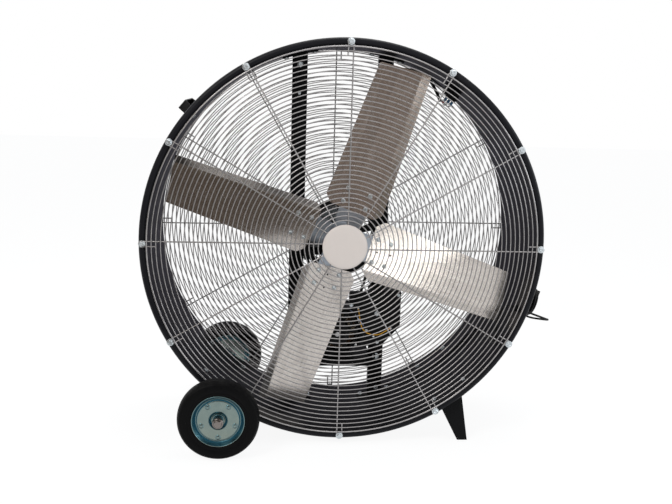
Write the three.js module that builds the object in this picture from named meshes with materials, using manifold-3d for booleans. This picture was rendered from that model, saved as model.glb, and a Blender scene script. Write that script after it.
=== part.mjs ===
// Belt-driven drum fan on two wheels and two legs. Millimetres, +Z up; the fan blows toward -Y.
// Every piece is made around the fan axis, a line along Y, and the whole is then raised to its height.
// The skilled feature is the pair of wire guards with the pitched, bent blades behind them.
import * as THREE from 'three';
import { mergeVertices } from 'three/addons/utils/BufferGeometryUtils.js';
import Module from 'manifold-3d';

const wasm = await Module();
wasm.setup();

// Driving dimensions
const axisHeight = 654;            // fan axis above the floor
const seat = 0.3;                  // gap between pieces that touch
const weld = 0.4;                  // depth that welded wires sink into each other
const runningGap = 0.5;            // gap round what turns

const drumBore = 611;              // inner radius of the drum
const drumWall = 2;
const drumDepth = 457;
const rimRadius = 12;              // radius of the rolled edge
const drumSides = 48;

const ringCount = 38;              // concentric wires of one guard
const ringPitch = 14.2;
const outerRing = 609;             // radius of the outermost wire
const ringWire = 2.6;              // radius of a ring's wire
const edgeRingWire = 3.2;          // the outermost ring is thicker
const spokeCount = 12;
const spokeWire = 3;
const hookBend = 8;                // radius of the hook that goes round a rim bolt
const hookReturn = 42;             // length of the hook's returning leg
const hubRing = 60;                // ring behind the centre plate
const plateRadius = 75;            // plain plate at the centre of the front guard
const plateThickness = 2;
const rimBoltHead = 10.4;
const rimBoltShank = 3.5;

const bladeCount = 4;
const bladeTurn = -19;             // direction of the first blade, in degrees from +X
const bladeLevel = -95;            // where the blades' mid-line crosses the axis
const bladeRoot = 98;              // distance of the root edge from the axis
const bladeTip = 582;
const bladeSkew = 14;              // the trailing corner of the tip reaches further out
const bladeHalfRoot = 96;
const bladeHalfTip = 82;
const bladeSheet = 2;
const bladeCorner = 22;            // cut corner of the root
const rootPitch = 22;              // degrees
const tipPitch = 16;
const stripWidth = 32;             // bent strip along the trailing edge
const stripBend = 22;              // degrees
const armWidth = 92;
const armReach = 182;
const armSheet = 5;
const bossRadius = 40;
const bossLength = 62;

const shaftRadius = 12.5;
const shaftFront = -130;
const shaftRear = 152;
const beltLevel = -39;             // plane of the belt and of both pulleys
const fanPulleyRadius = 127;
const fanPulleyRim = 21;           // radial thickness of the rim
const fanPulleyArms = 5;
const motorPulleyRadius = 41;
const pulleyHalf = 11;             // half the width of a pulley
const grooveDepth = 13;
const grooveMouth = 7.5;           // half width of a groove at its mouth
const grooveFloor = 3.3;
const beltInset = 1.5;             // belt below the pulleys' rims
const beltHeight = 8;
const beltSideGap = 0.7;

const railWidth = 50;
const railDepth = 32;
const railSheet = 3;
const railFront = 70;              // front face of both rails
const leftRailX = -140;
const rightRailX = 148;
const flangeLength = 120;
const flangeSheet = 4;

const deckTop = -42;               // bearing deck, below the fan axis
const deckSheet = 6;
const deckFront = -22;
const deckRear = 158;
const deckWeb = 52;                // height of the deck's side webs
const bearingDepth = 36;
const bearingRadius = 30;
const bearingFoot = 65;            // half the length of a bearing's foot
const bearingFootHeight = 12;
const frontBearing = 0;            // places of the bearings along the shaft
const rearBearing = 132;

const motorDrop = 335;             // motor shaft below the fan axis
const motorRadius = 82.5;
const motorWall = 6;
const motorSides = 16;
const motorFront = -14;
const bellDepth = 30;
const frameLength = 132;
const rearBellDepth = 34;
const motorShaftRadius = 8;
const ventInner = 34;
const ventOuter = 68;
const ventCount = 6;
const ventRib = 9;                 // width of the ribs between the vents
const windingRadius = 55;
const windingThickness = 12;
const windingLobes = 20;
const shelfDrop = 101;             // shelf top below the motor shaft
const shelfSheet = 5;
const shelfLip = 26;
const shelfDepth = 160;
const footHalf = 75;

const boxLeft = 58;                // wiring box beside the motor
const boxRight = 217;
const boxTop = -190;
const boxBottom = -384;
const boxFront = -20;
const boxChamfer = 62;

const wheelRadius = 127;
const tyreWidth = 62;
const wheelRimRadius = 82;
const wheelSides = 20;
const wheelHubHalf = 32;
const wheelX = -384;
const wheelY = 325;                // both ways from the middle
const axleRadius = 8;
const axleHalf = 368;
const capRadius = 17.5;
const capWall = 6;
const bracketY = 152;
const bracketWidth = 60;
const bracketSpan = 8;             // half angle of a saddle, in degrees
const saddleSheet = 3.5;
const bracketSteps = 4;            // flats of a saddle
const lugThickness = 8;

const legLeftTop = 338;            // corners of a leg's front web, measured from the fan axis
const legRightTop = 404;
const legLeftFoot = 397;
const legRightFoot = 430;
const legFront = 197;              // both ways from the middle
const legDepth = 38;
const legSheet = 3;
const legSaddleAngle = -53.3;
const legSaddleSpan = 8.2;

const handleAngle = 140.3;
const handleHalf = 188;            // half the handle's length along Y
const handleFoot = 40;
const handleRise = 50;
const handleWidth = 32;
const handleSheet = 4;

const switchAngle = 54;
const switchY = -20;
const switchLength = 62;
const switchWidth = 44;
const switchDepth = 32;
const knobStem = 6;
const knobRadius = 15;
const knobHeight = 16;

const cordRadius = 3.3;
const wireRadius = 2.5;            // cable from the switch
const glandAngle = -19.6;
const glandY = -185;
const glandLength = 34;            // outside the drum
const glandRadius = 12;
const glandThread = 8;
const glandNut = 12;

const coilAngle = -17.7;           // the coil hangs on a hook outside the drum
const coilY = -90;
const coilReach = 678;             // distance of the coil's middle plane from the fan axis
const coilInner = 26.6;
const coilTurns = 3;               // turns in each of the two layers
const coilPitch = 7.2;
const hookRadius = 5;
const hookTip = 691.5;
const plugLength = 36;
const plugRadius = 13;
const tailEnd = [[626, -60, -252.5], [621, -32, -259], [615, -8, -272], [610, 8, -290], [607, 17, -310],
  [606, 20, -330], [606, 20, -346]];
const switchHole = -262;           // height of the hole through the right rail into the wiring box

// Derived dimensions
const shellRadius = drumBore + drumWall;
const rimCentre = drumBore + rimRadius;
const outerRadius = drumBore + 2 * rimRadius;
const halfDepth = drumDepth / 2;
const wallSeat = drumBore * Math.cos(Math.PI / drumSides) - seat;
const spokeLevel = -halfDepth - spokeWire / 2 - seat;
const ringLevel = spokeLevel - spokeWire - 0.866 * ringWire - 0.05;
const axleAngle = THREE.MathUtils.radToDeg(Math.atan2(wheelRadius - axisHeight, wheelX));
const axleReach = Math.hypot(wheelRadius - axisHeight, wheelX);
const grooveSlope = (grooveMouth - grooveFloor) / grooveDepth;
const facet = 360 / drumSides;
const coilOuter = coilInner + coilPitch * coilTurns;

const radians = THREE.MathUtils.degToRad;

// ---------- making and joining solids ----------

// A closed geometry as a solid with its faces pointing out.
function solid(geometry) {
  const plain = geometry.clone();
  plain.deleteAttribute('normal');
  plain.deleteAttribute('uv');
  const merged = mergeVertices(plain, 1e-4);
  const position = merged.attributes.position;
  const corners = [];
  let volume = 0;
  const a = new THREE.Vector3();
  const b = new THREE.Vector3();
  const c = new THREE.Vector3();
  for (let i = 0; i < merged.index.count; i += 3) {
    const [p, q, r] = [merged.index.getX(i), merged.index.getX(i + 1), merged.index.getX(i + 2)];
    if (p === q || q === r || r === p) continue;
    corners.push(p, q, r);
    volume += a.fromBufferAttribute(position, p).dot(
      b.fromBufferAttribute(position, q).cross(c.fromBufferAttribute(position, r)));
  }
  if (volume < 0) corners.reverse();
  return new wasm.Manifold(new wasm.Mesh({
    numProp: 3,
    vertProperties: new Float32Array(position.array),
    triVerts: Uint32Array.from(corners),
  }));
}

function joined(solids) {
  return solids.reduce((whole, piece) => whole.add(piece));
}

function toGeometry(body) {
  const mesh = body.getMesh();
  const geometry = new THREE.BufferGeometry();
  geometry.setAttribute('position', new THREE.BufferAttribute(new Float32Array(mesh.vertProperties), 3));
  geometry.setIndex(Array.from(mesh.triVerts));
  geometry.computeVertexNormals();
  return geometry;
}

// A profile of [radius, y] points turned round the Y axis.
function turned(profile, sides) {
  const points = profile.map(([radius, y]) => new THREE.Vector2(radius, y));
  const onAxis = profile[0][0] === 0;
  if (!onAxis) points.push(points[0].clone());
  return solid(new THREE.LatheGeometry(points, sides));
}

// An outline of [x, z] points, or a Shape, made solid from y0 to y1.
function plate(outline, y0, y1, curveSegments = 8) {
  const shape = outline instanceof THREE.Shape
    ? outline
    : new THREE.Shape(outline.map(([x, z]) => new THREE.Vector2(x, z)));
  const geometry = new THREE.ExtrudeGeometry(shape, { depth: y1 - y0, bevelEnabled: false, curveSegments });
  geometry.rotateX(Math.PI / 2);
  geometry.translate(0, y1, 0);
  return solid(geometry);
}

function block(x0, x1, y0, y1, z0, z1) {
  const geometry = new THREE.BoxGeometry(x1 - x0, y1 - y0, z1 - z0);
  geometry.translate((x0 + x1) / 2, (y0 + y1) / 2, (z0 + z1) / 2);
  return solid(geometry);
}

// A round bar along Y, centred on (x, z).
function bar(radius, y0, y1, x = 0, z = 0, sides = 12) {
  const geometry = new THREE.CylinderGeometry(radius, radius, y1 - y0, sides);
  geometry.translate(x, (y0 + y1) / 2, z);
  return solid(geometry);
}

// A round bar along X, centred on (y, z).
function crossBar(radius, x0, x1, y = 0, z = 0, sides = 12) {
  const geometry = new THREE.CylinderGeometry(radius, radius, x1 - x0, sides);
  geometry.rotateZ(Math.PI / 2);
  geometry.translate((x0 + x1) / 2, y, z);
  return solid(geometry);
}

// A curved plate between two radii round the fan axis, from angle a0 to a1 in degrees.
function saddle(r0, r1, a0, a1, y0, y1, steps = 4) {
  const shape = new THREE.Shape();
  shape.absarc(0, 0, r1, radians(a0), radians(a1), false);
  shape.absarc(0, 0, r0, radians(a1), radians(a0), true);
  return plate(shape, y0, y1, steps);
}

// Turned about the fan axis, so that +X points in the direction of the angle.
function aimed(body, angle) {
  return body.rotate([0, -angle, 0]);
}

// The least radius of a polygon's corners for which its sides stay outside a given radius.
function roundOut(radius, sides) {
  return radius / Math.cos(Math.PI / sides);
}

// A tube along points, with flat ends or closed on itself, and its frame carried along.
function tubeGeometry(points, radius, sides, closed = false, firstNormal = null, turn = 0) {
  const count = points.length;
  const at = (i) => points[closed ? (i + count) % count : Math.min(Math.max(i, 0), count - 1)];
  const vertices = [];
  const triangles = [];
  let normal = firstNormal ? firstNormal.clone() : null;
  for (let i = 0; i < count; i++) {
    const tangent = at(i + 1).clone().sub(at(i - 1)).normalize();
    if (!normal) normal = new THREE.Vector3(0, 1, 0);
    normal.addScaledVector(tangent, -normal.dot(tangent)).normalize();
    const side = tangent.clone().cross(normal);
    for (let k = 0; k < sides; k++) {
      const angle = turn + 2 * Math.PI * k / sides;
      const corner = points[i].clone()
        .addScaledVector(normal, radius * Math.cos(angle))
        .addScaledVector(side, radius * Math.sin(angle));
      vertices.push(corner.x, corner.y, corner.z);
    }
  }
  const spans = closed ? count : count - 1;
  for (let i = 0; i < spans; i++) {
    const next = (i + 1) % count;
    for (let k = 0; k < sides; k++) {
      const l = (k + 1) % sides;
      triangles.push(i * sides + k, i * sides + l, next * sides + l);
      triangles.push(i * sides + k, next * sides + l, next * sides + k);
    }
  }
  if (!closed) {
    for (let k = 1; k < sides - 1; k++) {
      triangles.push(0, k + 1, k);
      triangles.push((count - 1) * sides, (count - 1) * sides + k, (count - 1) * sides + k + 1);
    }
  }
  const geometry = new THREE.BufferGeometry();
  geometry.setAttribute('position', new THREE.Float32BufferAttribute(vertices, 3));
  geometry.setIndex(triangles);
  return geometry;
}

// A cord's round tube along a smooth curve through its points.
function cordTube(points, radius, steps, sides = 8) {
  const section = new THREE.Shape();
  for (let k = 0; k < sides; k++) {
    const angle = 2 * Math.PI * (k + 0.5) / sides;
    const corner = [radius * Math.cos(angle), radius * Math.sin(angle)];
    if (k === 0) section.moveTo(...corner);
    else section.lineTo(...corner);
  }
  section.closePath();
  const path = new THREE.CatmullRomCurve3(points.map(([x, y, z]) => new THREE.Vector3(x, y, z)));
  return solid(new THREE.ExtrudeGeometry(section, { steps, bevelEnabled: false, extrudePath: path }));
}

// ---------- drum and guards ----------

// One rolled edge in section, from the drum's bore round to its outer wall.
function rimArc(side) {
  const end = THREE.MathUtils.radToDeg(Math.acos((rimRadius - drumWall) / rimRadius)) - 180;
  return [180, 90, 45, 0, -90, end].map((angle) => [rimCentre + rimRadius * Math.cos(radians(angle)),
    side * (halfDepth - rimRadius + rimRadius * Math.sin(radians(angle)))]);
}

function drumShell() {
  const shell = turned([...rimArc(-1), ...rimArc(1).reverse()], drumSides);
  const glandHole = aimed(crossBar(glandThread + seat, drumBore - 20, shellRadius + 10, glandY, 0, 10), glandAngle);
  const stemHole = aimed(crossBar(knobStem + runningGap, drumBore - 20, shellRadius + 10, switchY, 0, 10), switchAngle);
  return shell.subtract(glandHole).subtract(stemHole);
}

function ringSides(radius, fullSides) {
  if (radius > 400) return fullSides;
  return radius > 250 ? 10 : 8;
}

function ring(radius, wire, sides) {
  const geometry = new THREE.TorusGeometry(radius, wire, 3, sides);
  geometry.rotateX(Math.PI / 2);
  return solid(geometry);
}

// One spoke, with the hook that goes round a rim bolt and comes back beside it.
function spoke(level) {
  const points = [
    [hookBend, hubRing - 9], [hookBend, rimCentre], [hookBend * 0.7, rimCentre + hookBend * 0.8],
    [-hookBend * 0.7, rimCentre + hookBend * 0.8], [-hookBend, rimCentre], [-hookBend, rimCentre - hookReturn],
  ].map(([x, z]) => new THREE.Vector3(x, level, z));
  return tubeGeometry(points, spokeWire, 3, false, new THREE.Vector3(0, -1, 0));
}

// Rings welded in front of the spokes. The first spoke touches every ring, and every spoke
// touches the outermost ring.
function guard(fullSides, plateOn) {
  const wires = [];
  const edgeLevel = spokeLevel - spokeWire - 0.866 * edgeRingWire + weld;
  for (let i = 0; i < ringCount; i++) {
    const radius = outerRing - i * ringPitch;
    const wire = ring(radius, i === 0 ? edgeRingWire : ringWire, ringSides(radius, fullSides));
    wires.push(wire.translate([0, i === 0 ? edgeLevel : ringLevel, 0]));
  }
  wires.push(ring(hubRing, edgeRingWire, 10).translate([0, edgeLevel, 0]));
  for (let k = 0; k < spokeCount; k++) {
    const bars = solid(spoke(spokeLevel - (k === 0 ? weld : 0)));
    wires.push(bars.rotate([0, 360 * k / spokeCount, 0]));
  }
  if (plateOn) wires.push(guardPlate(14).translate([0, weld + seat, 0]));
  return wasm.Manifold.union(wires);
}

function guardPlate(sides) {
  const rear = spokeLevel - spokeWire - 2 * 0.866 * edgeRingWire + weld - seat;
  const front = rear - plateThickness;
  return turned([[0, front], [plateRadius - 3, front], [plateRadius, front + 2.5], [plateRadius, rear + 3],
    [plateRadius - plateThickness, rear + 3], [plateRadius - 4, rear], [0, rear]], sides);
}

// A flange-headed bolt that holds one hook of the front guard on the rim.
function rimBolt() {
  const foot = -halfDepth - seat;
  const under = spokeLevel - spokeWire - weld - seat;
  return turned([[0, under - 6], [7, under - 6], [rimBoltHead, under], [rimBoltShank, under],
    [rimBoltShank, foot], [0, foot]], 6);
}

// ---------- rotor ----------

// A point of the blade's middle surface: s along the radius, across from -1 (trailing edge)
// to 1 (leading edge), with the bent strip on the trailing side.
function bladePoint(s, across) {
  const share = THREE.MathUtils.clamp((s - armReach) / (bladeTip - armReach), 0, 1);
  const pitch = radians(rootPitch + (tipPitch - rootPitch) * share);
  const half = THREE.MathUtils.lerp(bladeHalfRoot, bladeHalfTip, (s - bladeRoot) / (bladeTip - bladeRoot));
  const chord = half / Math.cos(pitch);
  const bend = chord - stripWidth;
  const place = across * chord;
  const camber = 3 * share * (1 - across * across);
  if (place >= -bend) return [place * Math.cos(pitch), place * Math.sin(pitch) + camber];
  const beyond = -bend - place;
  const steep = pitch + radians(stripBend);
  return [-bend * Math.cos(pitch) - beyond * Math.cos(steep),
    -bend * Math.sin(pitch) - beyond * Math.sin(steep) + camber];
}

function blade() {
  const stations = [bladeRoot, bladeRoot + bladeCorner / 2, armReach, 310, 450, bladeTip];
  const across = [1, 0.45, -0.1, -1 + stripWidth / bladeHalfRoot, -1];
  const vertices = [];
  const triangles = [];
  for (const face of [-1, 1]) {
    stations.forEach((station, i) => {
      across.forEach((place) => {
        const reach = i === stations.length - 1 ? -bladeSkew / 2 * place : 0;
        const cut = i === 0 && Math.abs(place) === 1 ? 1 - bladeCorner / bladeHalfRoot : 1;
        const [t, y] = bladePoint(station, place * cut);
        vertices.push(station + reach, bladeLevel + y + face * bladeSheet / 2, t);
      });
    });
  }
  const columns = across.length;
  const layer = stations.length * columns;
  const at = (i, j, face) => face * layer + i * columns + j;
  const quad = (a, b, c, d) => triangles.push(a, b, c, a, c, d);
  for (let i = 0; i < stations.length - 1; i++) {
    for (let j = 0; j < columns - 1; j++) {
      quad(at(i, j, 0), at(i, j + 1, 0), at(i + 1, j + 1, 0), at(i + 1, j, 0));
      quad(at(i, j, 1), at(i + 1, j, 1), at(i + 1, j + 1, 1), at(i, j + 1, 1));
    }
    quad(at(i, 0, 0), at(i + 1, 0, 0), at(i + 1, 0, 1), at(i, 0, 1));
    quad(at(i, columns - 1, 0), at(i, columns - 1, 1), at(i + 1, columns - 1, 1), at(i + 1, columns - 1, 0));
  }
  const end = stations.length - 1;
  for (let j = 0; j < columns - 1; j++) {
    quad(at(0, j, 0), at(0, j, 1), at(0, j + 1, 1), at(0, j + 1, 0));
    quad(at(end, j, 0), at(end, j + 1, 0), at(end, j + 1, 1), at(end, j, 1));
  }
  const geometry = new THREE.BufferGeometry();
  geometry.setAttribute('position', new THREE.Float32BufferAttribute(vertices, 3));
  geometry.setIndex(triangles);
  return solid(geometry);
}

function bladeHub() {
  const bore = roundOut(shaftRadius + seat, 16);
  const front = bladeLevel - bossLength / 2;
  const boss = turned([[bore, front], [bossRadius - 4, front], [bossRadius, front + 4],
    [bossRadius, front + bossLength], [bore, front + bossLength]], 16);
  const arms = [];
  const clearance = (bladeSheet / 2 + seat) / Math.cos(radians(rootPitch)) + 0.15;
  for (let k = 0; k < bladeCount; k++) {
    const arm = block(bossRadius - 8, armReach, 0, armSheet, -armWidth / 2, armWidth / 2);
    const pitched = arm.translate([0, clearance, 0]).rotate([-rootPitch, 0, 0]).translate([0, bladeLevel, 0]);
    arms.push(aimed(pitched, bladeTurn + 360 * k / bladeCount));
  }
  return joined([boss, ...arms]);
}

function pulleyRim(radius, inner, sides) {
  return [[inner, beltLevel - pulleyHalf], [radius, beltLevel - pulleyHalf], [radius, beltLevel - grooveMouth],
    [radius - grooveDepth, beltLevel - grooveFloor], [radius - grooveDepth, beltLevel + grooveFloor],
    [radius, beltLevel + grooveMouth], [radius, beltLevel + pulleyHalf], [inner, beltLevel + pulleyHalf]];
}

function fanPulley() {
  const inner = fanPulleyRadius - fanPulleyRim;
  const rim = turned(pulleyRim(fanPulleyRadius, inner), 20);
  const bore = roundOut(shaftRadius + seat, 16);
  const boss = turned([[bore, beltLevel - 17], [28, beltLevel - 17], [28, beltLevel + 17], [bore, beltLevel + 17]], 16);
  const arms = [];
  for (let k = 0; k < fanPulleyArms; k++) {
    const arm = block(24, inner + 3, beltLevel - 4, beltLevel + 4, -11, 11);
    arms.push(aimed(arm, 90 + 360 * k / fanPulleyArms));
  }
  return joined([rim, boss, ...arms]);
}

function motorPulley() {
  const bore = roundOut(motorShaftRadius + seat, 16);
  return turned(pulleyRim(motorPulleyRadius, bore), 16).translate([0, 0, -motorDrop]);
}

// The closed V-belt: a four-cornered section carried round both pulleys.
function driveBelt() {
  const lean = Math.asin((fanPulleyRadius - motorPulleyRadius) / motorDrop);
  const stations = [];
  const wrap = (radius, height, from, to, steps) => {
    for (let i = 0; i <= steps; i++) {
      stations.push({ radius, height, angle: from + (to - from) * i / steps });
    }
  };
  wrap(fanPulleyRadius, 0, -lean, Math.PI + lean, 14);
  wrap(motorPulleyRadius, -motorDrop, Math.PI + lean, 2 * Math.PI - lean, 10);
  const halfWidth = (depth) => grooveMouth - grooveSlope * depth - beltSideGap;
  const section = [[beltInset, -1], [beltInset, 1], [beltInset + beltHeight, 1], [beltInset + beltHeight, -1]];
  const vertices = [];
  for (const { radius, height, angle } of stations) {
    for (const [depth, side] of section) {
      const reach = radius - depth;
      vertices.push(reach * Math.cos(angle), beltLevel + side * halfWidth(depth), height + reach * Math.sin(angle));
    }
  }
  const triangles = [];
  const count = stations.length;
  for (let i = 0; i < count; i++) {
    const next = (i + 1) % count;
    for (let k = 0; k < 4; k++) {
      const l = (k + 1) % 4;
      triangles.push(4 * i + k, 4 * i + l, 4 * next + l, 4 * i + k, 4 * next + l, 4 * next + k);
    }
  }
  const geometry = new THREE.BufferGeometry();
  geometry.setAttribute('position', new THREE.Float32BufferAttribute(vertices, 3));
  geometry.setIndex(triangles);
  return solid(geometry);
}

// ---------- rails, bearings and motor ----------

function rail(x) {
  const left = x - railWidth / 2;
  const right = x + railWidth / 2;
  const back = railFront + railDepth;
  const web = block(left, right, railFront, railFront + railSheet, -drumBore, drumBore);
  const leftSide = block(left, left + railSheet, railFront, back, -drumBore, drumBore);
  const rightSide = block(right - railSheet, right, railFront, back, -drumBore, drumBore);
  const height = Math.sqrt(wallSeat * wallSeat - x * x);
  const middle = THREE.MathUtils.radToDeg(Math.atan2(height, x));
  const spread = THREE.MathUtils.radToDeg(flangeLength / 2 / wallSeat);
  const flanges = [middle, -middle].map((angle) => saddle(wallSeat - flangeSheet, wallSeat + 20,
    angle - spread, angle + spread, railFront - 8, back + 8));
  const inside = bar(drumBore - seat, railFront - 20, back + 20, 0, 0, drumSides);
  const hole = bar(wireRadius + 1.5, railFront - 5, railFront + 5, x, switchHole, 8);
  const whole = joined([web, leftSide, rightSide, ...flanges]).intersect(inside);
  return x > 0 ? whole.subtract(hole) : whole;
}

function bearingDeck() {
  const left = leftRailX + railWidth / 2 + seat;
  const right = rightRailX - railWidth / 2 - seat;
  const deck = block(left, right, deckFront, deckRear, deckTop - deckSheet, deckTop);
  const webFoot = deckTop - deckWeb;
  const leftWeb = block(left, left + deckSheet, railFront - 20, railFront + railDepth + 20, webFoot, deckTop);
  const rightWeb = block(right - deckSheet, right, railFront - 20, railFront + railDepth + 20, webFoot, deckTop);
  const frontLip = block(left, right, deckFront, deckFront + 5, deckTop - 26, deckTop);
  const rearLip = block(left, right, deckRear - 5, deckRear, deckTop - 26, deckTop);
  return joined([deck, leftWeb, rightWeb, frontLip, rearLip]);
}

function pillowBlock(middle) {
  const foot = deckTop + seat;
  const shape = new THREE.Shape();
  shape.moveTo(-bearingFoot, foot);
  shape.lineTo(bearingFoot, foot);
  shape.lineTo(bearingFoot, foot + bearingFootHeight);
  shape.lineTo(bearingRadius + 6, foot + bearingFootHeight + 2);
  shape.absarc(0, 0, bearingRadius, radians(-35), radians(215), false);
  shape.lineTo(-bearingRadius - 6, foot + bearingFootHeight + 2);
  shape.lineTo(-bearingFoot, foot + bearingFootHeight);
  shape.closePath();
  const body = plate(shape, middle - bearingDepth / 2, middle + bearingDepth / 2, 10);
  const bore = bar(roundOut(shaftRadius + runningGap, 24), middle - bearingDepth, middle + bearingDepth, 0, 0, 24);
  return body.subtract(bore);
}

function motorFrame() {
  const front = motorFront + bellDepth + seat;
  const rear = front + frameLength;
  const bore = roundOut(motorShaftRadius + runningGap, motorSides);
  return turned([[bore, front], [motorRadius, front], [motorRadius, rear], [0, rear], [0, rear - 20],
    [bore, rear - 20]].reverse(), motorSides).translate([0, 0, -motorDrop]);
}

function motorFrontBell() {
  const bore = roundOut(motorShaftRadius + runningGap, motorSides);
  const cup = turned([[bore, motorFront - 6], [22, motorFront - 6], [24, motorFront],
    [motorRadius - 10, motorFront], [motorRadius, motorFront + 8], [motorRadius, motorFront + bellDepth],
    [motorRadius - motorWall, motorFront + bellDepth], [motorRadius - motorWall, motorFront + 10],
    [bore, motorFront + 6]], motorSides);
  const windows = [];
  for (let k = 0; k < ventCount; k++) {
    const middle = 90 + 360 * k / ventCount;
    const half = 180 / ventCount - THREE.MathUtils.radToDeg(ventRib / 2 / windingRadius);
    windows.push(saddle(ventInner, ventOuter, middle - half, middle + half, motorFront - 10, motorFront + 12, 2));
  }
  return windows.reduce((bell, window) => bell.subtract(window), cup).translate([0, 0, -motorDrop]);
}

function motorRearBell() {
  const front = motorFront + bellDepth + frameLength + 2 * seat;
  return turned([[0, front], [motorRadius, front], [motorRadius, front + rearBellDepth - 14],
    [motorRadius - 16, front + rearBellDepth], [20, front + rearBellDepth], [16, front + rearBellDepth + 8],
    [0, front + rearBellDepth + 8]], motorSides).translate([0, 0, -motorDrop]);
}

// End turns of the motor's winding: a ring laced into lobes.
function motorWinding() {
  const depth = bellDepth - 10 - 2 * seat;
  const middle = motorFront + bellDepth - depth / 2;
  const count = windingLobes;
  const sides = 6;
  const vertices = [];
  const triangles = [];
  for (let i = 0; i < count; i++) {
    const angle = 2 * Math.PI * i / count;
    const swell = i % 2 ? 1 : 0.82;
    for (let k = 0; k < sides; k++) {
      const turn = 2 * Math.PI * (k + 0.5) / sides;
      const reach = windingRadius + windingThickness * swell * Math.cos(turn);
      vertices.push(reach * Math.cos(angle), middle + depth / 2 * swell * Math.sin(turn) / Math.sin(Math.PI / 2),
        reach * Math.sin(angle));
    }
  }
  for (let i = 0; i < count; i++) {
    const next = (i + 1) % count;
    for (let k = 0; k < sides; k++) {
      const l = (k + 1) % sides;
      triangles.push(i * sides + k, i * sides + l, next * sides + l);
      triangles.push(i * sides + k, next * sides + l, next * sides + k);
    }
  }
  const geometry = new THREE.BufferGeometry();
  geometry.setAttribute('position', new THREE.Float32BufferAttribute(vertices, 3));
  geometry.setIndex(triangles);
  return solid(geometry).translate([0, 0, -motorDrop]);
}

function motorBase() {
  const shape = new THREE.Shape();
  const top = -motorDrop - shelfDrop + seat;
  shape.moveTo(-footHalf, top);
  shape.lineTo(footHalf, top);
  shape.lineTo(footHalf, top + 5);
  shape.lineTo(52, top + 7);
  shape.lineTo(46, top + 44);
  shape.lineTo(-46, top + 44);
  shape.lineTo(-52, top + 7);
  shape.lineTo(-footHalf, top + 5);
  shape.closePath();
  const front = motorFront + bellDepth + 12;
  const cradle = plate(shape, front, front + frameLength - 24);
  const room = bar(roundOut(motorRadius + seat, 24), front - 10, front + frameLength, 0, -motorDrop, 24);
  return cradle.subtract(room.rotate([0, 0, 0]));
}

function motorShelf() {
  const left = leftRailX + railWidth / 2 + seat;
  const right = rightRailX - railWidth / 2 - seat;
  const top = -motorDrop - shelfDrop;
  const front = motorFront + 8;
  const deck = block(left, right, front, front + shelfDepth, top - shelfSheet, top);
  const leftWeb = block(left, left + shelfSheet, front, front + shelfDepth, top - shelfLip, top);
  const rightWeb = block(right - shelfSheet, right, front, front + shelfDepth, top - shelfLip, top);
  const lip = block(left, right, front, front + shelfSheet, top - shelfLip, top);
  return joined([deck, leftWeb, rightWeb, lip]);
}

function wiringBox() {
  const box = plate([[boxLeft, boxTop], [boxLeft, boxBottom], [boxRight - boxChamfer, boxBottom],
    [boxRight, boxBottom + boxChamfer * 1.1], [boxRight, boxTop]], boxFront, railFront - seat);
  const motorRoom = bar(motorRadius + 3, boxFront - 5, railFront + 5, 0, -motorDrop, 24);
  const cableRoom = bar(wireRadius + 1.5, railFront - 16, railFront + 5, rightRailX, switchHole, 8);
  return box.subtract(motorRoom).subtract(cableRoom);
}

// ---------- wheels, axle, legs and handle ----------

function tyre() {
  const half = tyreWidth / 2;
  const bore = wheelRimRadius + roundOut(seat, wheelSides);
  return turned([[bore, -half], [wheelRadius - 17, -half], [wheelRadius, -half + 14],
    [wheelRadius, half - 14], [wheelRadius - 17, half], [bore, half]], wheelSides);
}

// Two pressed discs back to back, with a hub tube through them.
function wheelDisc() {
  const bore = roundOut(axleRadius + runningGap, wheelSides);
  const outer = [[bore, wheelHubHalf], [14, wheelHubHalf], [22, 19], [wheelRimRadius, 21]];
  return turned([...outer.map(([radius, y]) => [radius, -y]), ...outer.reverse()], wheelSides);
}

function axleCap(side) {
  const start = wheelY + wheelHubHalf + runningGap;
  const bottom = axleHalf + seat;
  const bore = roundOut(axleRadius + seat, 12);
  return turned([[bore, side * start], [capRadius, side * start], [capRadius, side * axleHalf],
    [capRadius - capWall, side * (axleHalf + capWall)], [0, side * (axleHalf + capWall)], [0, side * bottom],
    [bore, side * bottom]].reverse(), 12);
}

function axleBracket(side) {
  const stepHalf = radians(bracketSpan / bracketSteps);
  const inner = (shellRadius + seat) / Math.cos(stepHalf);
  const middle = side * bracketY;
  const base = saddle(inner, inner + saddleSheet, -bracketSpan, bracketSpan,
    middle - bracketWidth / 2, middle + bracketWidth / 2, bracketSteps);
  const shape = new THREE.Shape();
  shape.moveTo(inner + 1.5, -34);
  shape.lineTo(inner + 12, -32);
  shape.lineTo(axleReach, -18);
  shape.absarc(axleReach, 0, 18, radians(-90), radians(90), false);
  shape.lineTo(inner + 12, 32);
  shape.lineTo(inner + 1.5, 34);
  shape.closePath();
  const lug = plate(shape, middle - lugThickness / 2, middle + lugThickness / 2, 5);
  const bore = bar(roundOut(axleRadius + seat, 12), middle - 20, middle + 20, axleReach, 0, 12);
  return aimed(base.add(lug).subtract(bore), axleAngle);
}

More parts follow.
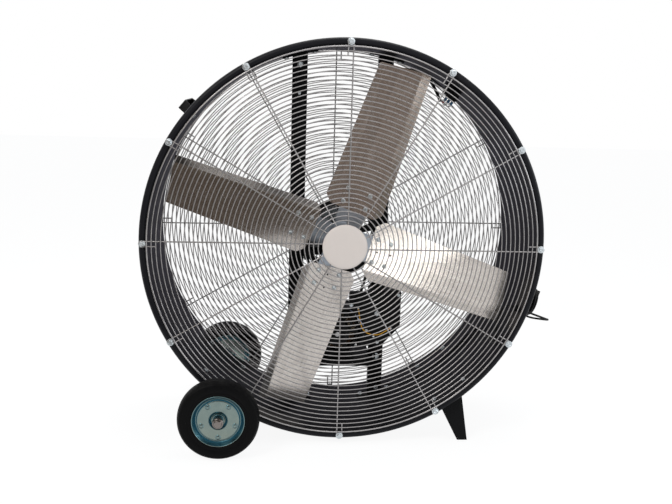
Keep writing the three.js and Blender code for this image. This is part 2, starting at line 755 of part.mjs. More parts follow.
// A leg: a tapered channel, open to the middle of the fan, hung from a saddle on the drum.
function leg(side) {
  const stepHalf = radians(legSaddleSpan / bracketSteps);
  const inner = (shellRadius + seat) / Math.cos(stepHalf);
  const front = side * legFront;
  const back = side * (legFront - legDepth);
  const between = (depth) => [Math.min(front, side * (legFront - depth)), Math.max(front, side * (legFront - depth))];
  const outline = [[legLeftTop - 20, -480], [legRightTop - 8, -430], [legRightTop, -497], [legRightFoot, -axisHeight],
    [legLeftFoot, -axisHeight], [legLeftTop, -541]];
  const web = plate(outline, ...between(legSheet));
  const leftSide = plate([[legLeftTop - 20, -480], [legLeftTop, -541], [legLeftFoot, -axisHeight],
    [legLeftFoot + 3.4, -axisHeight], [legLeftTop + 3.4, -541], [legLeftTop - 16, -480]], ...between(legDepth));
  const rightSide = plate([[legRightTop - 11.2, -430], [legRightTop - 8, -430], [legRightTop, -497],
    [legRightFoot, -axisHeight], [legRightFoot - 3.1, -axisHeight], [legRightTop - 3.1, -497]], ...between(legDepth));
  const foot = plate([[legLeftFoot, -axisHeight], [legRightFoot, -axisHeight],
    [legRightFoot - 0.6, -axisHeight + legSheet], [legLeftFoot - 1.5, -axisHeight + legSheet]], ...between(legDepth));
  const room = bar(inner, -legFront - 10, legFront + 10, 0, 0, drumSides);
  const channel = joined([web, leftSide, rightSide, foot]).subtract(room);
  const base = saddle(inner + 0.05, inner + saddleSheet, legSaddleAngle - legSaddleSpan, legSaddleAngle + legSaddleSpan,
    Math.min(front, back), Math.max(front, back), bracketSteps);
  return channel.add(base);
}

// The carrying handle: a flat bar bent up from its two feet.
function handle() {
  const low = shellRadius + seat;
  const high = shellRadius + handleRise;
  const t = handleSheet;
  const end = handleHalf;
  const side = end - handleFoot;
  const outer = [[low, -end], [low + t, -end], [low + t, -side - 6], [high, -side + 14], [high, side - 14],
    [low + t, side + 6], [low + t, end], [low, end]];
  const innerPath = [[low, side + 3], [high - t, side - 17], [high - t, -side + 17], [low, -side - 3]];
  const shape = new THREE.Shape([...outer, ...innerPath].map(([radius, y]) => new THREE.Vector2(radius, y)));
  const geometry = new THREE.ExtrudeGeometry(shape, { depth: handleWidth, bevelEnabled: false });
  geometry.translate(0, 0, -handleWidth / 2);
  return aimed(solid(geometry), handleAngle);
}

// ---------- switch, gland, hook and cords ----------

function switchBox() {
  const top = wallSeat - 1.5;
  const body = block(top - switchDepth, top, switchY - switchWidth / 2, switchY + switchWidth / 2,
    -switchLength / 2, switchLength / 2);
  const room = crossBar(knobStem + runningGap, top - 14, top + 10, switchY, 0, 10);
  return aimed(body.subtract(room), switchAngle);
}

function switchKnob() {
  const stem = crossBar(knobStem, wallSeat - 13, shellRadius + 4, switchY, 0, 10);
  const grip = crossBar(knobRadius, shellRadius + 2, shellRadius + 2 + knobHeight, switchY, 0, 16);
  return aimed(stem.add(grip), switchAngle);
}

// Distance from the axis to the drum's flat facet, along a direction.
function facetReach(angle) {
  const offset = (((angle % facet) + facet) % facet) - facet / 2;
  return shellRadius * Math.cos(radians(facet / 2)) / Math.cos(radians(offset));
}

function cordGland() {
  const outside = facetReach(glandAngle) + seat + 0.3;
  const inside = wallSeat - 1.5;
  const thread = crossBar(glandThread, inside - 12, outside + 4, glandY, 0, 10);
  const nut = crossBar(glandNut, inside - 8, inside, glandY, 0, 6);
  const collar = crossBar(glandNut + 1, outside, outside + 8, glandY, 0, 6);
  const cone = new THREE.CylinderGeometry(6.5, glandRadius, glandLength - 6, 10);
  cone.rotateZ(-Math.PI / 2);
  cone.translate(shellRadius + 6 + (glandLength - 6) / 2, glandY, 0);
  const hole = crossBar(roundOut(cordRadius + seat, 8), inside - 30, shellRadius + glandLength + 20, glandY, 0, 8);
  return aimed(joined([thread, nut, collar, solid(cone)]).subtract(hole), glandAngle);
}

// A round peg with an upturned end that carries the coil.
function cordHook() {
  const climb = coilInner - cordRadius - hookRadius - seat;
  const half = 16;
  const low = THREE.MathUtils.radToDeg((climb - half) / shellRadius);
  const high = THREE.MathUtils.radToDeg((climb + half) / shellRadius);
  const root = (shellRadius + seat) / Math.cos(radians((high - low) / 2));
  const foot = saddle(root, root + 5, low, high, coilY - half, coilY + half, 1);
  const points = [[root + 3, climb], [hookTip - 8, climb], [hookTip - 3, climb + 3], [hookTip, climb + 9],
    [hookTip, climb + 26]].map(([x, z]) => new THREE.Vector3(x, coilY, z));
  const rod = solid(tubeGeometry(points, hookRadius, 8, false, new THREE.Vector3(0, 1, 0)));
  return aimed(foot.add(rod), coilAngle);
}

// A place given by its distance from the axis, its y and its height above the coil's middle.
function besideCoil(reach, y, height) {
  const angle = radians(coilAngle);
  return new THREE.Vector3(reach * Math.cos(angle) - height * Math.sin(angle), y,
    reach * Math.sin(angle) + height * Math.cos(angle));
}

// A place given by its distance from the axis, its direction in degrees and its y.
function onWall(reach, angle, y) {
  return new THREE.Vector3(reach * Math.cos(radians(angle)), y, reach * Math.sin(radians(angle)));
}

// The coil's centre line: in through the outer layer and out through the layer nearer the drum.
function coilLine() {
  const steps = 24;
  const points = [];
  const total = 2 * coilTurns * steps;
  for (let i = 0; i <= total; i++) {
    const turn = i / steps;
    const spiral = turn > coilTurns ? 2 * coilTurns - turn : turn;
    const radius = coilOuter - coilPitch * spiral;
    const climb = THREE.MathUtils.smoothstep(turn, coilTurns - 0.25, coilTurns + 0.25);
    const angle = 2 * Math.PI * turn;
    points.push(besideCoil(coilReach + coilPitch * (0.5 - climb),
      coilY + radius * Math.sin(angle), -radius * Math.cos(angle)));
  }
  return points;
}

function leastSelfGap(points, radius, apart) {
  let least = Infinity;
  for (let i = 0; i < points.length; i++) {
    for (let j = i + apart; j < points.length; j++) {
      least = Math.min(least, points[i].distanceTo(points[j]) - 2 * radius);
    }
  }
  return least;
}

function lineLength(points) {
  return points.slice(1).reduce((sum, point, i) => sum + point.distanceTo(points[i]), 0);
}

function cordCoil() {
  const line = coilLine();
  console.log('least gap of the cord coil to itself, mm:', leastSelfGap(line, cordRadius, 12).toFixed(2));
  console.log('length of the cord in the coil, mm:', lineLength(line).toFixed(0));
  return solid(tubeGeometry(line, cordRadius, 6, false, onWall(1, coilAngle, 0)));
}

// The cord leaves the gland square, sags, turns away behind and comes back to the coil.
function cordLead() {
  const line = coilLine();
  const back = line[0].clone().sub(line[1]).normalize();
  const points = [
    onWall(shellRadius + 4, glandAngle, glandY), onWall(shellRadius + 20, glandAngle, glandY),
    onWall(shellRadius + glandLength + 4, glandAngle, glandY), besideCoil(676, glandY, -22.6),
    besideCoil(700, glandY, -23.5), besideCoil(713, -182, -24.5), besideCoil(723, -173, -26),
    besideCoil(728.4, -162, -28.3), besideCoil(729, -150, -31.4), besideCoil(726.5, -138, -35),
    besideCoil(719.5, -127.5, -38.8), besideCoil(709, -120.5, -42.4), besideCoil(697.8, -114.5, -45.6),
    besideCoil(688.6, -106.5, -47.9), line[0].clone().addScaledVector(back, 9),
    line[0].clone().addScaledVector(back, seat + 0.1),
  ];
  return cordTube(points, cordRadius, 18);
}

// The cord's far end droops from the coil to the plug, close behind the drum's rim.
function cordTail() {
  const line = coilLine();
  const last = line[line.length - 1];
  const on = last.clone().sub(line[line.length - 2]).normalize();
  const points = [last.clone().addScaledVector(on, seat + 0.1), last.clone().addScaledVector(on, 10),
    ...tailEnd.map(([x, y, z]) => new THREE.Vector3(x, y, z))];
  return cordTube(points, cordRadius, 12);
}

// A three-pin plug hanging from the cord, pins down.
function plug() {
  const neck = 14;
  const bore = roundOut(cordRadius + seat, 8);
  const body = turned([[0, -plugLength], [plugRadius, -plugLength], [plugRadius, -9], [8, 0], [6, neck], [bore, neck],
    [bore, 2], [0, 2]], 12).rotate([90, 0, 0]);
  const pins = [[-6.4, -3.2, 0.8, 3.2], [6.4, -3.2, 0.8, 3.2]].map(([x, y, halfX, halfY]) => block(x - halfX, x + halfX,
    y - halfY, y + halfY, -plugLength - 17, -plugLength + 2));
  const earth = bar(2.4, 0, 20, 0, 0, 6).rotate([-90, 0, 0]).translate([0, 6.5, -plugLength + 1]);
  const [x, y, z] = tailEnd[tailEnd.length - 1];
  return joined([body, ...pins, earth]).translate([x, y, z - 2.3]);
}

// A cable that runs straight between its corners and bends evenly round each of them.
function bentCable(corners, radius, sides, bend) {
  const points = [corners[0]];
  for (let i = 1; i < corners.length - 1; i++) {
    const from = corners[i - 1].clone().sub(corners[i]).normalize();
    const to = corners[i + 1].clone().sub(corners[i]).normalize();
    const half = from.angleTo(to) / 2;
    const reach = bend / Math.tan(half);
    const centre = corners[i].clone().addScaledVector(from.clone().add(to).normalize(), bend / Math.sin(half));
    const steps = Math.max(1, Math.round((Math.PI - 2 * half) / radians(40)));
    const first = corners[i].clone().addScaledVector(from, reach).sub(centre);
    const last = corners[i].clone().addScaledVector(to, reach).sub(centre);
    const sweep = first.angleTo(last);
    for (let k = 0; k <= steps; k++) {
      const share = k / steps;
      points.push(centre.clone()
        .addScaledVector(first, Math.sin((1 - share) * sweep) / Math.sin(sweep))
        .addScaledVector(last, Math.sin(share * sweep) / Math.sin(sweep)));
    }
  }
  points.push(corners[corners.length - 1]);
  return solid(tubeGeometry(points, radius, sides, false, new THREE.Vector3(1, 0, 0)));
}

// From the wiring box down to the wall, round it past the blades' tips and out to the gland.
function motorCable() {
  const wall = wallSeat - cordRadius - 0.8;
  const corners = [new THREE.Vector3(140, 40, boxBottom - seat), new THREE.Vector3(140, 40, -460)];
  for (const [reach, angle, y] of [[wall - 30, -74, 62], [wall, -67, 75], [wall, -62, 75], [wall, -57, 75],
    [wall, -52, 75], [wall, -47, 75], [wall, -42, 75], [wall, -37, 70], [wall, -33, 35], [wall, -33, glandY],
    [wall - 41, -25.5, glandY], [wall - 42, glandAngle, glandY]]) {
    corners.push(onWall(reach, angle, y));
  }
  corners.push(onWall(shellRadius + 4 - seat, glandAngle, glandY));
  return bentCable(corners, cordRadius, 6, 30);
}

// From the switch round the wall, down inside the right rail and through its web into the wiring box.
function switchCable() {
  const wall = wallSeat - wireRadius - 0.8;
  const inRail = railFront + railDepth - 6;
  const leave = switchY + switchWidth / 2;
  const corners = [onWall(wallSeat - 16, switchAngle, leave + seat), onWall(wallSeat - 16, switchAngle, leave + 24)];
  for (const [reach, angle, y] of [[wall, 60, 92], [wall - 2, 66, 122]]) corners.push(onWall(reach, angle, y));
  corners.push(new THREE.Vector3(rightRailX + 14, 124, 556), new THREE.Vector3(rightRailX, 112, 480));
  corners.push(new THREE.Vector3(rightRailX, inRail, 400));
  corners.push(new THREE.Vector3(rightRailX, inRail, switchHole), new THREE.Vector3(rightRailX, railFront - 14, switchHole));
  return bentCable(corners, wireRadius, 6, 21);
}

// ---------- the assembly ----------

const blackSteel = { color: 0x1b1c1f, roughness: 0.45, metalness: 0.4 };
const brightWire = { color: 0xc9c9c7, roughness: 0.3, metalness: 0.9 };
const aluminium = { color: 0xb9b3a8, roughness: 0.35, metalness: 0.9 };
const zinc = { color: 0xaebfc2, roughness: 0.35, metalness: 0.85 };
const rubber = { color: 0x1a1a1c, roughness: 0.85, metalness: 0 };
const steel = { color: 0x8c8e90, roughness: 0.4, metalness: 0.9 };
const castIron = { color: 0x202123, roughness: 0.6, metalness: 0.5 };
const copper = { color: 0x9c5a34, roughness: 0.45, metalness: 0.7 };
const blackPlastic = { color: 0x141416, roughness: 0.5, metalness: 0 };
const palePlate = { color: 0xccc6be, roughness: 0.45, metalness: 0.2 };

const fan = new THREE.Group();
const aroundAxis = new THREE.Group();
aroundAxis.position.z = axisHeight;
fan.add(aroundAxis);

function add(name, body, finish, place = {}) {
  const mesh = new THREE.Mesh(toGeometry(body), new THREE.MeshStandardMaterial(finish));
  mesh.name = name;
  mesh.position.set(place.x ?? 0, place.y ?? 0, place.z ?? 0);
  mesh.rotation.set(0, place.turn ?? 0, place.spin ?? 0);
  aroundAxis.add(mesh);
}

add('drum_shell', drumShell(), blackSteel);
add('front_guard', guard(14, false), brightWire);
add('rear_guard', guard(12, true), brightWire, { spin: Math.PI });
add('front_guard_disc', guardPlate(20), palePlate);
for (let k = 0; k < spokeCount; k++) {
  const name = `guard_clip_${String(k + 1).padStart(2, '0')}`;
  add(name, aimed(rimBolt().translate([rimCentre, 0, 0]), 90 - 360 * k / spokeCount), zinc);
}

add('left_rail', rail(leftRailX), blackSteel);
add('right_rail', rail(rightRailX), blackSteel);
add('bearing_bracket', bearingDeck(), blackSteel);
add('front_pillow_block', pillowBlock(frontBearing), castIron);
add('rear_pillow_block', pillowBlock(rearBearing), castIron);
add('motor_shelf', motorShelf(), blackSteel);
add('motor_base', motorBase(), blackSteel);
add('motor_frame', motorFrame(), castIron);
add('motor_front_end_bell', motorFrontBell(), castIron);
add('motor_rear_end_bell', motorRearBell(), castIron);
add('motor_winding', motorWinding(), copper);
add('wiring_box', wiringBox(), blackPlastic);
add('drive_belt', driveBelt(), rubber);

add('fan_shaft', bar(shaftRadius, shaftFront, shaftRear, 0, 0, 24), steel);
add('blade_hub', bladeHub(), zinc);
for (let k = 0; k < bladeCount; k++) {
  add(`blade_${k + 1}`, aimed(blade(), bladeTurn + 360 * k / bladeCount), aluminium);
}
add('fan_pulley', fanPulley(), castIron);
const motorShaftRear = motorFront + bellDepth + frameLength - 20;
add('motor_shaft', bar(motorShaftRadius, beltLevel - pulleyHalf - 4, motorShaftRear - 1, 0, -motorDrop, 12), steel);
add('motor_pulley', motorPulley(), castIron);

const axlePlace = { x: wheelX, z: wheelRadius - axisHeight };
add('axle', bar(axleRadius, -axleHalf, axleHalf, 0, 0, 12), steel, axlePlace);
add('front_axle_cap', axleCap(-1), zinc, axlePlace);
add('rear_axle_cap', axleCap(1), zinc, axlePlace);
add('front_tyre', tyre(), rubber, { ...axlePlace, y: -wheelY });
add('rear_tyre', tyre(), rubber, { ...axlePlace, y: wheelY });
add('front_wheel_disc', wheelDisc(), zinc, { ...axlePlace, y: -wheelY });
add('rear_wheel_disc', wheelDisc(), zinc, { ...axlePlace, y: wheelY });
add('front_axle_bracket', axleBracket(-1), blackSteel);
add('rear_axle_bracket', axleBracket(1), blackSteel);
add('front_leg', leg(-1), blackSteel);
add('rear_leg', leg(1), blackSteel);
add('handle', handle(), blackSteel);

add('switch_box', switchBox(), blackPlastic);
add('switch_knob', switchKnob(), blackPlastic);
add('cord_gland', cordGland(), blackPlastic);
add('cord_hook', cordHook(), blackSteel);
add('motor_cable', motorCable(), rubber);
add('switch_cable', switchCable(), rubber);
add('power_cord_lead', cordLead(), rubber);
add('power_cord_coil', cordCoil(), rubber);
add('power_cord_tail', cordTail(), rubber);
add('plug', plug(), blackPlastic);

// The origin is under the middle of the whole, cords left out.
const whole = new THREE.Box3();
for (const mesh of aroundAxis.children) {
  if (!/^(power_cord|plug)/.test(mesh.name)) whole.expandByObject(mesh);
}
aroundAxis.position.x = -(whole.min.x + whole.max.x) / 2;
console.log('fan axis at x, mm:', aroundAxis.position.x.toFixed(3));

export default fan;
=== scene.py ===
"""Looks of the drum fan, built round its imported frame. Lengths in the pieces are in millimetres from the fan axis."""

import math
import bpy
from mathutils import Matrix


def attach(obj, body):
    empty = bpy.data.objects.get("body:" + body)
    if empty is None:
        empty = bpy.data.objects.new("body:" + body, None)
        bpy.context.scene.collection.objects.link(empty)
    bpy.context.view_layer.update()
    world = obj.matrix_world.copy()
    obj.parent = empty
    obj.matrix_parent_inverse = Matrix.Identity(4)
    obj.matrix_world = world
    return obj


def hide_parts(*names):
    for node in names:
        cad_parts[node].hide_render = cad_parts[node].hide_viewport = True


bl_info = {
    "name": "Drum Fan",
    "version": (1, 0, 0),
    "blender": (4, 5, 0),
    "location": "View3D > Sidebar > Drum Fan",
    "description": "Builds a belt driven drum fan on two wheels and two legs, with its studio",
    "category": "Object",
}

import bmesh
import bpy
from mathutils import Matrix, Vector, noise

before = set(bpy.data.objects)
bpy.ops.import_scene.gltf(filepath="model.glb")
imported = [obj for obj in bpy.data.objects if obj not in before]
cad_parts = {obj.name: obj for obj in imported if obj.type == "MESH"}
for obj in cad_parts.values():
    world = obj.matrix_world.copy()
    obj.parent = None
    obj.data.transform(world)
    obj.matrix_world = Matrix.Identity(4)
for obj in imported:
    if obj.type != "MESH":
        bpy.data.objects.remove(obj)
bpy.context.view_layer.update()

FAN_AXIS = Vector((-0.020953, 0.0, 0.654))
MM = 0.001
pi, cos, sin, radians = math.pi, math.cos, math.sin, math.radians

# Places shared by several pieces, in millimetres from the fan axis.
BORE, SHELL, RIM, ROLL, HALF = 611.0, 613.0, 623.0, 12.0, 228.5
MOTOR_DROP = 335.0
WHEEL = (-384.0, -527.0)
RAILS = (-140.0, 148.0)
BELT_LEVEL = -39.0
BLADE_LEVEL, BLADE_ANGLE, BLADE_PITCH, PITCH_FALL, STRIP_BEND = -95.0, -19.0, 22.0, 6.0, 14.0
BLADE_ROOT, BLADE_LENGTH, STRIP_WIDTH, BLADE_SKIN = 98.0, 484.0, 32.0, 0.95
WHEEL_LEVEL, AXLE_HALF, BRACKET_LEVEL, LEG_LEVEL, LEG_OUTSIDE = 325.0, 368.0, 152.0, 172.0, 197.0
ON_DRUM, ON_SADDLE, IN_DRUM, INNER_WALL = 613.4, 617.2, 610.8, 609.2
COIL_ANGLE, GLAND_ANGLE, SWITCH_ANGLE, HANDLE_ANGLE = -17.7, -19.6, 54.0, 140.3
GLAND_LEVEL, COIL_LEVEL, COIL_REACH, COIL_RADIUS, COIL_STEP = -185.0, -90.0, 678.0, 48.2, 7.2
PLUG_NECK = (606.0, 20.0, -348.3)
DUST_COLOUR = (0.42, 0.40, 0.37, 1)
# Blue of the wheel's faint cloudy passivation and of the reflection painted on its sloped faces.
PASSIVATION_AND_REFLECTION_BLUE = (0.12, 0.27, 0.33, 1)


# ---------- settings ----------

class FanSizes(bpy.types.PropertyGroup):
    ring_count: bpy.props.IntProperty(name="Rings", description="Concentric wires of one guard", default=38, min=4, max=60)
    ring_pitch: bpy.props.FloatProperty(name="Ring pitch", description="Distance between neighbouring rings", default=0.0142,
                                        unit="LENGTH")
    ring_wire: bpy.props.FloatProperty(name="Ring wire", description="Radius of a ring's wire", default=0.0017, unit="LENGTH")
    edge_wire: bpy.props.FloatProperty(name="Edge wire", description="Radius of the outermost ring's wire", default=0.0024,
                                       unit="LENGTH")
    spoke_wire: bpy.props.FloatProperty(name="Spoke wire", description="Radius of a spoke's wire", default=0.0022, unit="LENGTH")
    spoke_count: bpy.props.IntProperty(name="Spokes", description="Spokes of one guard", default=12, min=3, max=24)
    cord_length: bpy.props.FloatProperty(name="Cord length", description="Real length of the power cord", default=1.83,
                                         unit="LENGTH")
    cord_diameter: bpy.props.FloatProperty(name="Cord diameter", description="Thickness of the power cord", default=0.0066,
                                           unit="LENGTH")


class FanLooks(bpy.types.PropertyGroup):
    dust: bpy.props.FloatProperty(name="Dust", description="How much dust lies on what faces up", default=0.05, min=0, max=1,
                                  subtype="FACTOR")
    wear: bpy.props.FloatProperty(name="Wear", description="How much the finishes vary and tarnish", default=0.5, min=0, max=1,
                                  subtype="FACTOR")
    drum_colour: bpy.props.FloatVectorProperty(name="Drum colour", description="Paint of the drum",
                                               default=(0.0075, 0.0075, 0.0095), size=3, subtype="COLOR")
    wire_colour: bpy.props.FloatVectorProperty(name="Wire colour", description="Plating of the guard wires",
                                               default=(0.42, 0.405, 0.40), size=3, subtype="COLOR")
    plate_colour: bpy.props.FloatVectorProperty(name="Plate colour", description="Enamel of the front guard's centre plate",
                                                default=(0.67, 0.60, 0.555), size=3, subtype="COLOR")
    blade_colour: bpy.props.FloatVectorProperty(name="Blade colour", description="Bare metal of the blades",
                                                default=(0.72, 0.675, 0.635), size=3, subtype="COLOR")
    wheel_colour: bpy.props.FloatVectorProperty(name="Wheel colour", description="Plating of the wheel discs",
                                                default=(0.225, 0.265, 0.235), size=3, subtype="COLOR")
    backdrop: bpy.props.FloatVectorProperty(name="Backdrop", description="Colour of the floor and of what lies behind",
                                            default=(1, 1, 1), size=3, subtype="COLOR")


# ---------- outlines ----------

def fillet(points, radius, steps=3, closed=True):
    """Rounds the corners of a line of 2D or 3D points; radius is one number or one for each corner."""
    corners = [Vector(p) for p in points]
    count, line = len(corners), []
    for i, corner in enumerate(corners):
        size = radius[i] if isinstance(radius, (list, tuple)) else radius
        before, after = corners[i - 1] - corner, corners[(i + 1) % count] - corner
        if size <= 0 or (not closed and i in (0, count - 1)) or before.length < 1e-6 or after.length < 1e-6:
            line.append(corner.copy())
            continue
        angle = before.normalized().angle(after.normalized())
        if angle > pi - 0.02 or angle < 0.02:
            line.append(corner.copy())
            continue
        cut = min(size / math.tan(angle / 2), 0.48 * before.length, 0.48 * after.length)
        bent = cut * math.tan(angle / 2)
        middle = corner + (before.normalized() + after.normalized()).normalized() * (bent / sin(angle / 2))
        first, last = corner + before.normalized() * cut - middle, corner + after.normalized() * cut - middle
        sweep = first.normalized().angle(last.normalized())
        for k in range(steps + 1):
            share = k / steps
            line.append(middle + first * (sin((1 - share) * sweep) / sin(sweep)) + last * (sin(share * sweep) / sin(sweep)))
    return line


def arc(radius, start, end, steps, middle=(0, 0)):
    """Points of a flat arc, angles in degrees."""
    return [(middle[0] + radius * cos(radians(start + (end - start) * k / steps)),
             middle[1] + radius * sin(radians(start + (end - start) * k / steps))) for k in range(steps + 1)]


def smooth_line(points, per_span=6):
    """A smooth line through points; at each one it runs as from the point before to the point after."""
    knots = [Vector(p) for p in points]
    line = []
    for i in range(len(knots) - 1):
        a, b, c, d = knots[max(i - 1, 0)], knots[i], knots[i + 1], knots[min(i + 2, len(knots) - 1)]
        for k in range(per_span):
            t = k / per_span
            line.append(0.5 * ((2 * b) + (c - a) * t + (2 * a - 5 * b + 4 * c - d) * t ** 2 + (3 * b - a - 3 * c + d) * t ** 3))
    line.append(knots[-1])
    return line


def on_wall(reach, angle, y):
    return Vector((reach * cos(radians(angle)), y, reach * sin(radians(angle))))


def beside_coil(reach, y, height):
    a = radians(COIL_ANGLE)
    return Vector((reach * cos(a) - height * sin(a), y, reach * sin(a) + height * cos(a)))


def aimed(angle, move=(0, 0, 0)):
    """Turns about the fan axis so that +X points in the direction of the angle."""
    return Matrix.Rotation(-radians(angle), 4, "Y") @ Matrix.Translation(move)


def facing(place, direction, spin=0.0):
    """Stands a piece made along +Z on a place, pointing in a direction."""
    turn = Vector(direction).normalized().to_track_quat("Z", "Y").to_matrix().to_4x4()
    return Matrix.Translation(place) @ turn @ Matrix.Rotation(spin, 4, "Z")


# ---------- solids ----------

class Piece:
    """Gathers closed bodies in millimetres from the fan axis and makes them one object."""

    def __init__(self):
        self.bm = bmesh.new()

    def take(self, part, matrix=None, slot=0, bevel=0.0, steps=2, sharp=30):
        """Bevels a body's sharp edges, puts it in place and keeps it."""
        bmesh.ops.recalc_face_normals(part, faces=part.faces)
        if bevel:
            limit = radians(sharp)
            edges = [e for e in part.edges if len(e.link_faces) == 2 and e.calc_face_angle(0) > limit]
            bmesh.ops.bevel(part, geom=edges, offset=bevel, offset_type="OFFSET", segments=steps, profile=0.7, affect="EDGES",
                            clamp_overlap=True)
        for face in part.faces:
            face.material_index = slot
        if matrix is not None:
            part.transform(matrix)
        mesh = bpy.data.meshes.new("part")
        part.to_mesh(mesh)
        part.free()
        self.bm.from_mesh(mesh)
        bpy.data.meshes.remove(mesh)

    def prism(self, outline, low, high, matrix=None, slot=0, bevel=0.0, along="Y", steps=2, fall=None):
        """An outline of two coordinates made solid between two levels of the third."""
        part = bmesh.new()
        place = {"Y": lambda a, b, c: (a, c, b), "X": lambda a, b, c: (c, a, b), "Z": lambda a, b, c: (a, b, c)}[along]
        sides = []
        for level in (low, high):
            ends = [level if fall is None else fall(p[0], level) for p in outline]
            sides.append([part.verts.new(place(p[0], p[1], e)) for p, e in zip(outline, ends)])
        part.faces.new(sides[0][::-1])
        part.faces.new(sides[1])
        count = len(outline)
        for i in range(count):
            j = (i + 1) % count
            part.faces.new((sides[0][i], sides[0][j], sides[1][j], sides[1][i]))
        self.take(part, matrix, slot, bevel, steps)

    def block(self, x0, x1, y0, y1, z0, z1, bevel=0.8, matrix=None, slot=0, steps=2):
        self.prism([(x0, z0), (x1, z0), (x1, z1), (x0, z1)], y0, y1, matrix, slot, bevel, steps=steps)

    def lathe(self, profile, sides=64, matrix=None, slot=0, start=0.0, sweep=360.0):
        """A closed section of (radius, y) turned round the Y axis, all the way or part of it."""
        part = bmesh.new()
        full = sweep > 359.9
        rings = []
        for k in range(sides if full else sides + 1):
            a = radians(start + sweep * k / sides)
            rings.append([part.verts.new((r * cos(a), y, r * sin(a))) if r > 1e-6 or k == 0 or not full else None
                          for r, y in profile])
        count = len(profile)
        for i, (r, _) in enumerate(profile):
            if r <= 1e-6 and full:
                for ring in rings[1:]:
                    ring[i] = rings[0][i]
        for k in range(sides):
            a, b = rings[k], rings[(k + 1) % len(rings)]
            for i in range(count):
                j = (i + 1) % count
                corners = [a[i], a[j], b[j], b[i]]
                unique = [v for n, v in enumerate(corners) if v not in corners[:n]]
                if len(unique) > 2:
                    part.faces.new(unique)
        if not full:
            part.faces.new(rings[0])
            part.faces.new(rings[-1][::-1])
        self.take(part, matrix, slot)

    def tube(self, points, radius, sides=12, matrix=None, slot=0, closed=False):
        """A round bar along a line; radius is one number or one for each point."""
        line = [Vector(p) for p in points]
        part, count, rings = bmesh.new(), len(line), []
        normal = None
        for i, point in enumerate(line):
            before = line[i - 1] if closed or i else line[0]
            after = line[(i + 1) % count] if closed or i < count - 1 else line[-1]
            along = (after - before).normalized()
            if normal is None:
                normal = along.orthogonal()
            normal = (normal - along * normal.dot(along)).normalized()
            side = along.cross(normal)
            r = radius[i] if isinstance(radius, (list, tuple)) else radius
            rings.append([part.verts.new(point + (normal * cos(2 * pi * k / sides) + side * sin(2 * pi * k / sides)) * r)
                          for k in range(sides)])
        for i in range(count if closed else count - 1):
            a, b = rings[i], rings[(i + 1) % count]
            for k in range(sides):
                part.faces.new((a[k], a[(k + 1) % sides], b[(k + 1) % sides], b[k]))
        if not closed:
            part.faces.new(rings[0][::-1])
            part.faces.new(rings[-1])
        self.take(part, matrix, slot)

    def bolt(self, place, direction, across=13.0, height=6.0, flange=1.0, slot=0, spin=0.0):
        """A hexagon head with a washer face, a chamfered crown and a washer under it."""
        matrix = facing(place, direction, spin) @ Matrix.Rotation(pi / 2, 4, "X")
        corner = across / 2 / cos(pi / 6)
        washer = corner * (1.0 + 0.22 * flange)
        self.lathe(fillet([(0, 0), (washer, 0), (washer, 1.6), (0, 1.6)], [0, 0.5, 0.5, 0], 2), 24, matrix, slot)
        self.lathe([(0, 1.5), (corner, 1.5), (corner, height - 1.4), (across * 0.47, height), (across * 0.3, height),
                    (across * 0.26, height - 0.5), (0, height - 0.5)], 6, matrix, slot)

    def made(self, name, finishes, smooth=32.0):
        """Makes the object, in place and in metres."""
        self.bm.transform(Matrix.Translation(FAN_AXIS) @ Matrix.Scale(MM, 4))
        mesh = bpy.data.meshes.new(name)
        self.bm.to_mesh(mesh)
        self.bm.free()
        return as_object(name, mesh, finishes, smooth)


def as_object(name, mesh, finishes, smooth=None):
    """Puts a mesh in the scene as an object at the origin with its finishes."""
    for finish in finishes if isinstance(finishes, (list, tuple)) else [finishes]:
        mesh.materials.append(finish)
    if smooth is not None:
        mesh.polygons.foreach_set("use_smooth", [True] * len(mesh.polygons))
        mesh.set_sharp_from_angle(angle=radians(smooth))
    thing = bpy.data.objects.new(name, mesh)
    bpy.context.scene.collection.objects.link(thing)
    return thing


def placed(thing, body, *nodes):
    """Lets a piece ride a body and stand for frame nodes."""
    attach(thing, body)
    if nodes:
        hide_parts(*nodes)
    return thing


# ---------- copies made with geometry nodes ----------

SOCKET = {"int": "NodeSocketInt", "float": "NodeSocketFloat", "object": "NodeSocketObject", "material": "NodeSocketMaterial",
          "vector": "NodeSocketVector", "geometry": "NodeSocketGeometry", "color": "NodeSocketColor"}


def add_node(tree, kind, values=None, **settings):
    """Adds a node, sets its settings, and sets or links its inputs by name or number."""
    made = tree.nodes.new(kind)
    for key, value in settings.items():
        setattr(made, key, value)
    for key, value in (values or {}).items():
        if isinstance(value, bpy.types.NodeSocket):
            tree.links.new(value, made.inputs[key])
        else:
            made.inputs[key].default_value = value
    return made


def start_tree(name, inputs):
    tree = bpy.data.node_groups.new(name, "GeometryNodeTree")
    for label, kind, default in inputs:
        socket = tree.interface.new_socket(label, in_out="INPUT", socket_type=SOCKET[kind])
        if default is not None:
            socket.default_value = default
    tree.interface.new_socket("Geometry", in_out="OUTPUT", socket_type=SOCKET["geometry"])
    return tree, tree.nodes.new("NodeGroupInput").outputs


def end_tree(tree, geometry, material):
    whole = add_node(tree, "GeometryNodeRealizeInstances", {0: geometry})
    finished = add_node(tree, "GeometryNodeSetMaterial", {"Geometry": whole.outputs[0], "Material": material})
    add_node(tree, "NodeGroupOutput", {0: finished.outputs[0]})


